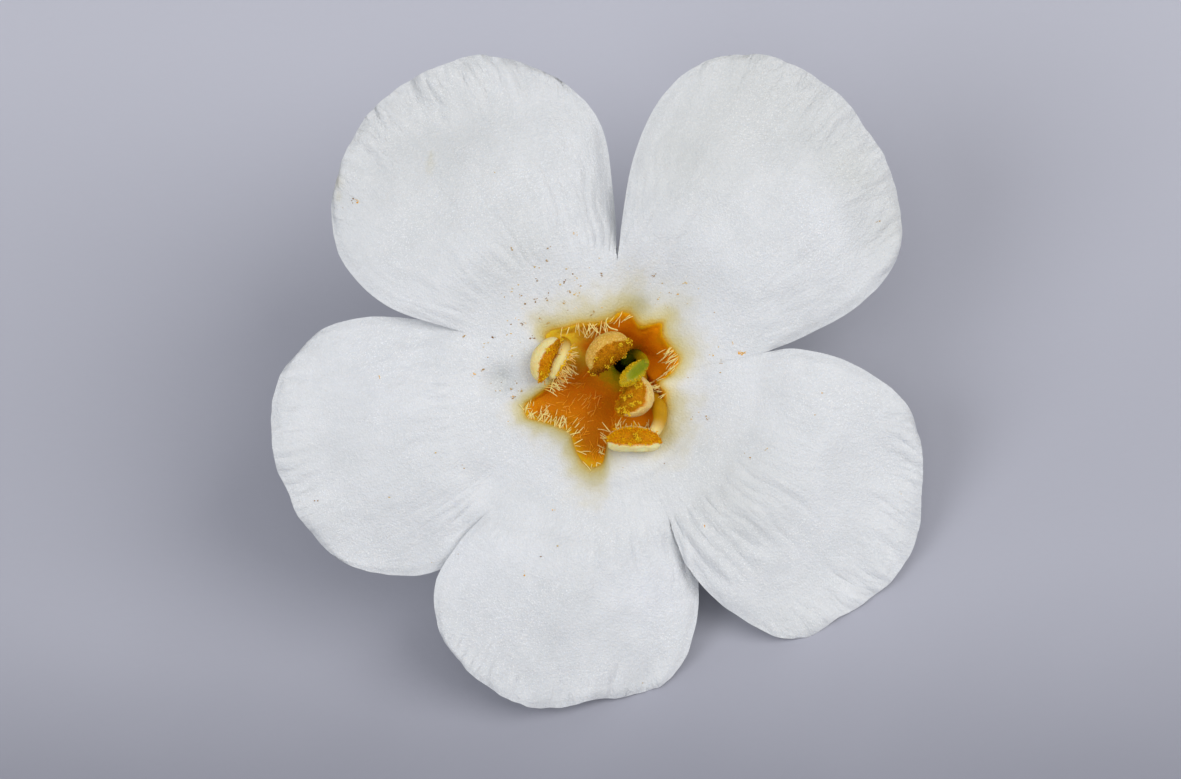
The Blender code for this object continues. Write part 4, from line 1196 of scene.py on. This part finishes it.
def calyxFoot(points, faces, start, wide, deep, turned):
    # closes one side of the cup under its lowest row, which starts at a point's number
    around, depth = calyxLook["around"], throat["tubeFoot"] + calyxLook["gap"]
    for share, sink in calyxLook["footRings"]:
        ring, down = len(points), depth + deep * sink
        for k in range(around):
            points.append((*(polar(360 * k / around, share * wide) + tubeMiddle(down)), -down))
        for k in range(around):
            after = (k + 1) % around
            quad = (start + k, start + after, ring + after, ring + k)
            faces.append(quad if turned else quad[::-1])
        start = ring
    points.append((*tubeMiddle(depth + deep), -(depth + deep)))
    for k in range(around):
        corner = (start + k, start + (k + 1) % around, len(points) - 1)
        faces.append(corner if turned else corner[::-1])


def buildCalyx():
    (inner, ribs), (outer, _) = calyxWall(True), calyxWall(False)
    rows, around = inner.shape[:2]
    points = [tuple(p) for p in np.vstack([inner.reshape(-1, 3), outer.reshape(-1, 3)])]
    under, faces = rows * around, []
    for row in range(rows - 1):
        for k in range(around):
            a, b = row * around + k, row * around + (k + 1) % around
            faces.append((b, a, a + around, b + around))
            faces.append((under + a, under + b, under + b + around, under + a + around))
    top = (rows - 1) * around
    for k in range(around):
        a, b = top + k, top + (k + 1) % around
        faces.append((b, a, under + a, under + b))
    calyxFoot(points, faces, 0, calyxLook["inner"], 0.0, True)
    calyxFoot(points, faces, under, calyxLook["inner"] + calyxLook["wall"], calyxLook["footDeep"], False)
    marks = list(ribs.ravel()) * 2
    marks += [calyxLook["footRib"]] * (len(points) - len(marks))
    return np.array(points), faces, marks, outer


calyxPoints, calyxFaces, calyxRibs, calyxOuter = buildCalyx()
calyx = makePiece("calyx_cup", calyxPoints, calyxFaces, calyxGreen, {"rib": calyxRibs})
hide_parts("calyx")

stalkLook = {"top": 0.42, "end": 0.37, "steps": 14, "sides": 24, "ribs": 5, "ribHeight": 0.02,
             "hairs": 260, "hairThick": 0.013, "hairLong": (0.15, 0.32),
             "route": [(1.38, 2.0, -7.45), (0.65, 2.7, -8.5), (-0.5, 4.0, -9.92), (-1.75, 5.6, -11.3),
                       (-2.9, 7.0, -12.51)]}


def buildStalk():
    sides = stalkLook["sides"]
    route = throughPoints([axisPoint(-0.45)] + stalkLook["route"], stalkLook["steps"])
    share = np.linspace(0, 1, len(route))
    radii = stalkLook["top"] + (stalkLook["end"] - stalkLook["top"]) * share
    radii = radii * (1 + 0.35 * np.exp(-((share / 0.05) ** 2)))  # flares where it meets the calyx
    points, faces = tube(route, radii, sides)
    points = np.array(points)
    for at in range(len(route) * sides):
        rise = stalkLook["ribHeight"] * math.cos(stalkLook["ribs"] * 2 * math.pi * (at % sides) / sides)
        rise += 0.015 * noise.noise(Vector(points[at] * 2))
        points[at] += unit(points[at] - route[at // sides]) * rise
    return restOnFloor(points), faces, route


stalkPoints, stalkFaces, stalkRoute = buildStalk()
ribs = {"rib": np.zeros(len(stalkPoints))}
stalk = makePiece("pedicel_stalk", stalkPoints, stalkFaces, stalkGreen, ribs)
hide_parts("pedicel")


def downMaterial():
    material, tree, place = newMaterial("stalkHair", 0.4, 0.5)
    colour = mixed(tree, grain(tree, place, 3.0), rgb(226, 232, 200), rgb(190, 206, 150))
    return finished(material, colour, (grain(tree, place, 40.0), 0.004, 0.4))


def greenHair(heap, look, at, outward, rng):
    growHair(heap, at - outward * 0.03, outward, rng.uniform(*look["hairLong"]), look["hairThick"], rng, 0.0)


greenHairs, rng = Heap(), random.Random(33)
for _ in range(calyxLook["hairs"]):
    row = rng.randrange(2, calyxOuter.shape[0])
    at = calyxOuter[row, rng.randrange(calyxOuter.shape[1])]
    middle = tubeMiddle(-at[2])
    greenHair(greenHairs, calyxLook, at, unit((at[0] - middle[0], at[1] - middle[1], 0.35)), rng)
for _ in range(stalkLook["hairs"]):
    k = rng.randrange(4, len(stalkRoute) - 1)
    at = stalkPoints[k * stalkLook["sides"] + rng.randrange(stalkLook["sides"])]
    outward = unit(at - stalkRoute[k])
    if (flowerPlace.to_3x3() @ Vector(outward)).z >= -0.2:  # none on the side that it lies on
        greenHair(greenHairs, stalkLook, at, outward, rng)
makePiece("green_hairs", greenHairs.points, greenHairs.faces, downMaterial())


print("stage 6: surface, light and camera")

studio = {"floorSide": 2.0, "distance": 180.0, "frameWide": 39.55, "look": (-0.486, -0.151, 0.0),
          "room": (0.86, 0.88, 0.94, 1.0), "roomPower": 0.24}


def paperMaterial():
    material, tree, place = newMaterial("paperWithPaintedShade", 0.85, 0.2)
    # painted shade: the paper grows darker towards the lower left, where the flower's shadow and the room's
    # shade fall
    across = addNode(tree, "VectorMath", {0: place, 1: (0.5, 1.0, 0.0)}, operation="DOT_PRODUCT")
    wavy = span(tree, grain(tree, place, 0.06, 3.0), 0.2, 0.8, -1.5, 1.5)
    shade = span(tree, maths(tree, "ADD", across.outputs["Value"], wavy), -36.0, 26.0)
    pale = ramp(tree, shade, (0.0, rgb(126, 127, 139)), (0.24, rgb(146, 147, 159)), (0.5, rgb(188, 189, 201)),
                (1.0, rgb(207, 208, 220)))
    return finished(material, pale, (grain(tree, place, 3.0, 4.0), 0.03, 0.3))


half = studio["floorSide"] / 2
floorMesh = bpy.data.meshes.new("paper")
corners = [(-half, -half, 0), (half, -half, 0), (half, half, 0), (-half, half, 0)]
floorMesh.from_pydata(corners, [], [(0, 1, 2, 3)])
floorMesh.materials.append(paperMaterial())
floor = bpy.data.objects.new("paper", floorMesh)
bpy.context.scene.collection.objects.link(floor)

# lights as (direction in the picture: right, up, towards the camera), distance, side and power
lamps = {
    "key": {"from": (0.6, 0.32, 1.0), "away": 0.5, "side": 0.35, "power": 1.25, "colour": (1.0, 0.99, 0.97)},
    "fill": {"from": (-0.9, -0.1, 0.9), "away": 0.6, "side": 0.5, "power": 1.2, "colour": (0.97, 0.985, 1.0)},
    "front": {"from": (0.0, 0.1, 1.0), "away": 0.7, "side": 0.4, "power": 0.7, "colour": (1.0, 1.0, 1.0)},
}
rightward, upward, outward = (faceTurn.to_3x3().col[k].copy() for k in range(3))
aim = flowerPlace @ (Vector(studio["look"]) * mm)
for name, lamp in lamps.items():
    data = bpy.data.lights.new(name, "AREA")
    data.shape = "DISK"
    data.size = lamp["side"]
    data.energy = lamp["power"]
    data.color = lamp["colour"]
    x, y, z = lamp["from"]
    direction = (rightward * x + upward * y + outward * z).normalized()
    light = bpy.data.objects.new(name, data)
    light.location = aim + direction * lamp["away"]
    light.rotation_mode = "QUATERNION"
    light.rotation_quaternion = direction.to_track_quat("Z", "Y")
    bpy.context.scene.collection.objects.link(light)

world = bpy.data.worlds.new("softRoom")
world.use_nodes = True
world.node_tree.nodes["Background"].inputs[0].default_value = studio["room"]
world.node_tree.nodes["Background"].inputs[1].default_value = studio["roomPower"]
bpy.context.scene.world = world
bpy.context.scene.view_settings.view_transform = "Standard"

cameraData = bpy.data.cameras.new("camera")
cameraData.lens = cameraData.sensor_width * studio["distance"] / studio["frameWide"]
cameraData.clip_start = 0.005
cameraData.clip_end = 10
camera = bpy.data.objects.new("camera", cameraData)
camera.matrix_world = Matrix.Translation(aim + outward * studio["distance"] * mm) @ faceTurn
bpy.context.scene.collection.objects.link(camera)
bpy.context.scene.camera = camera
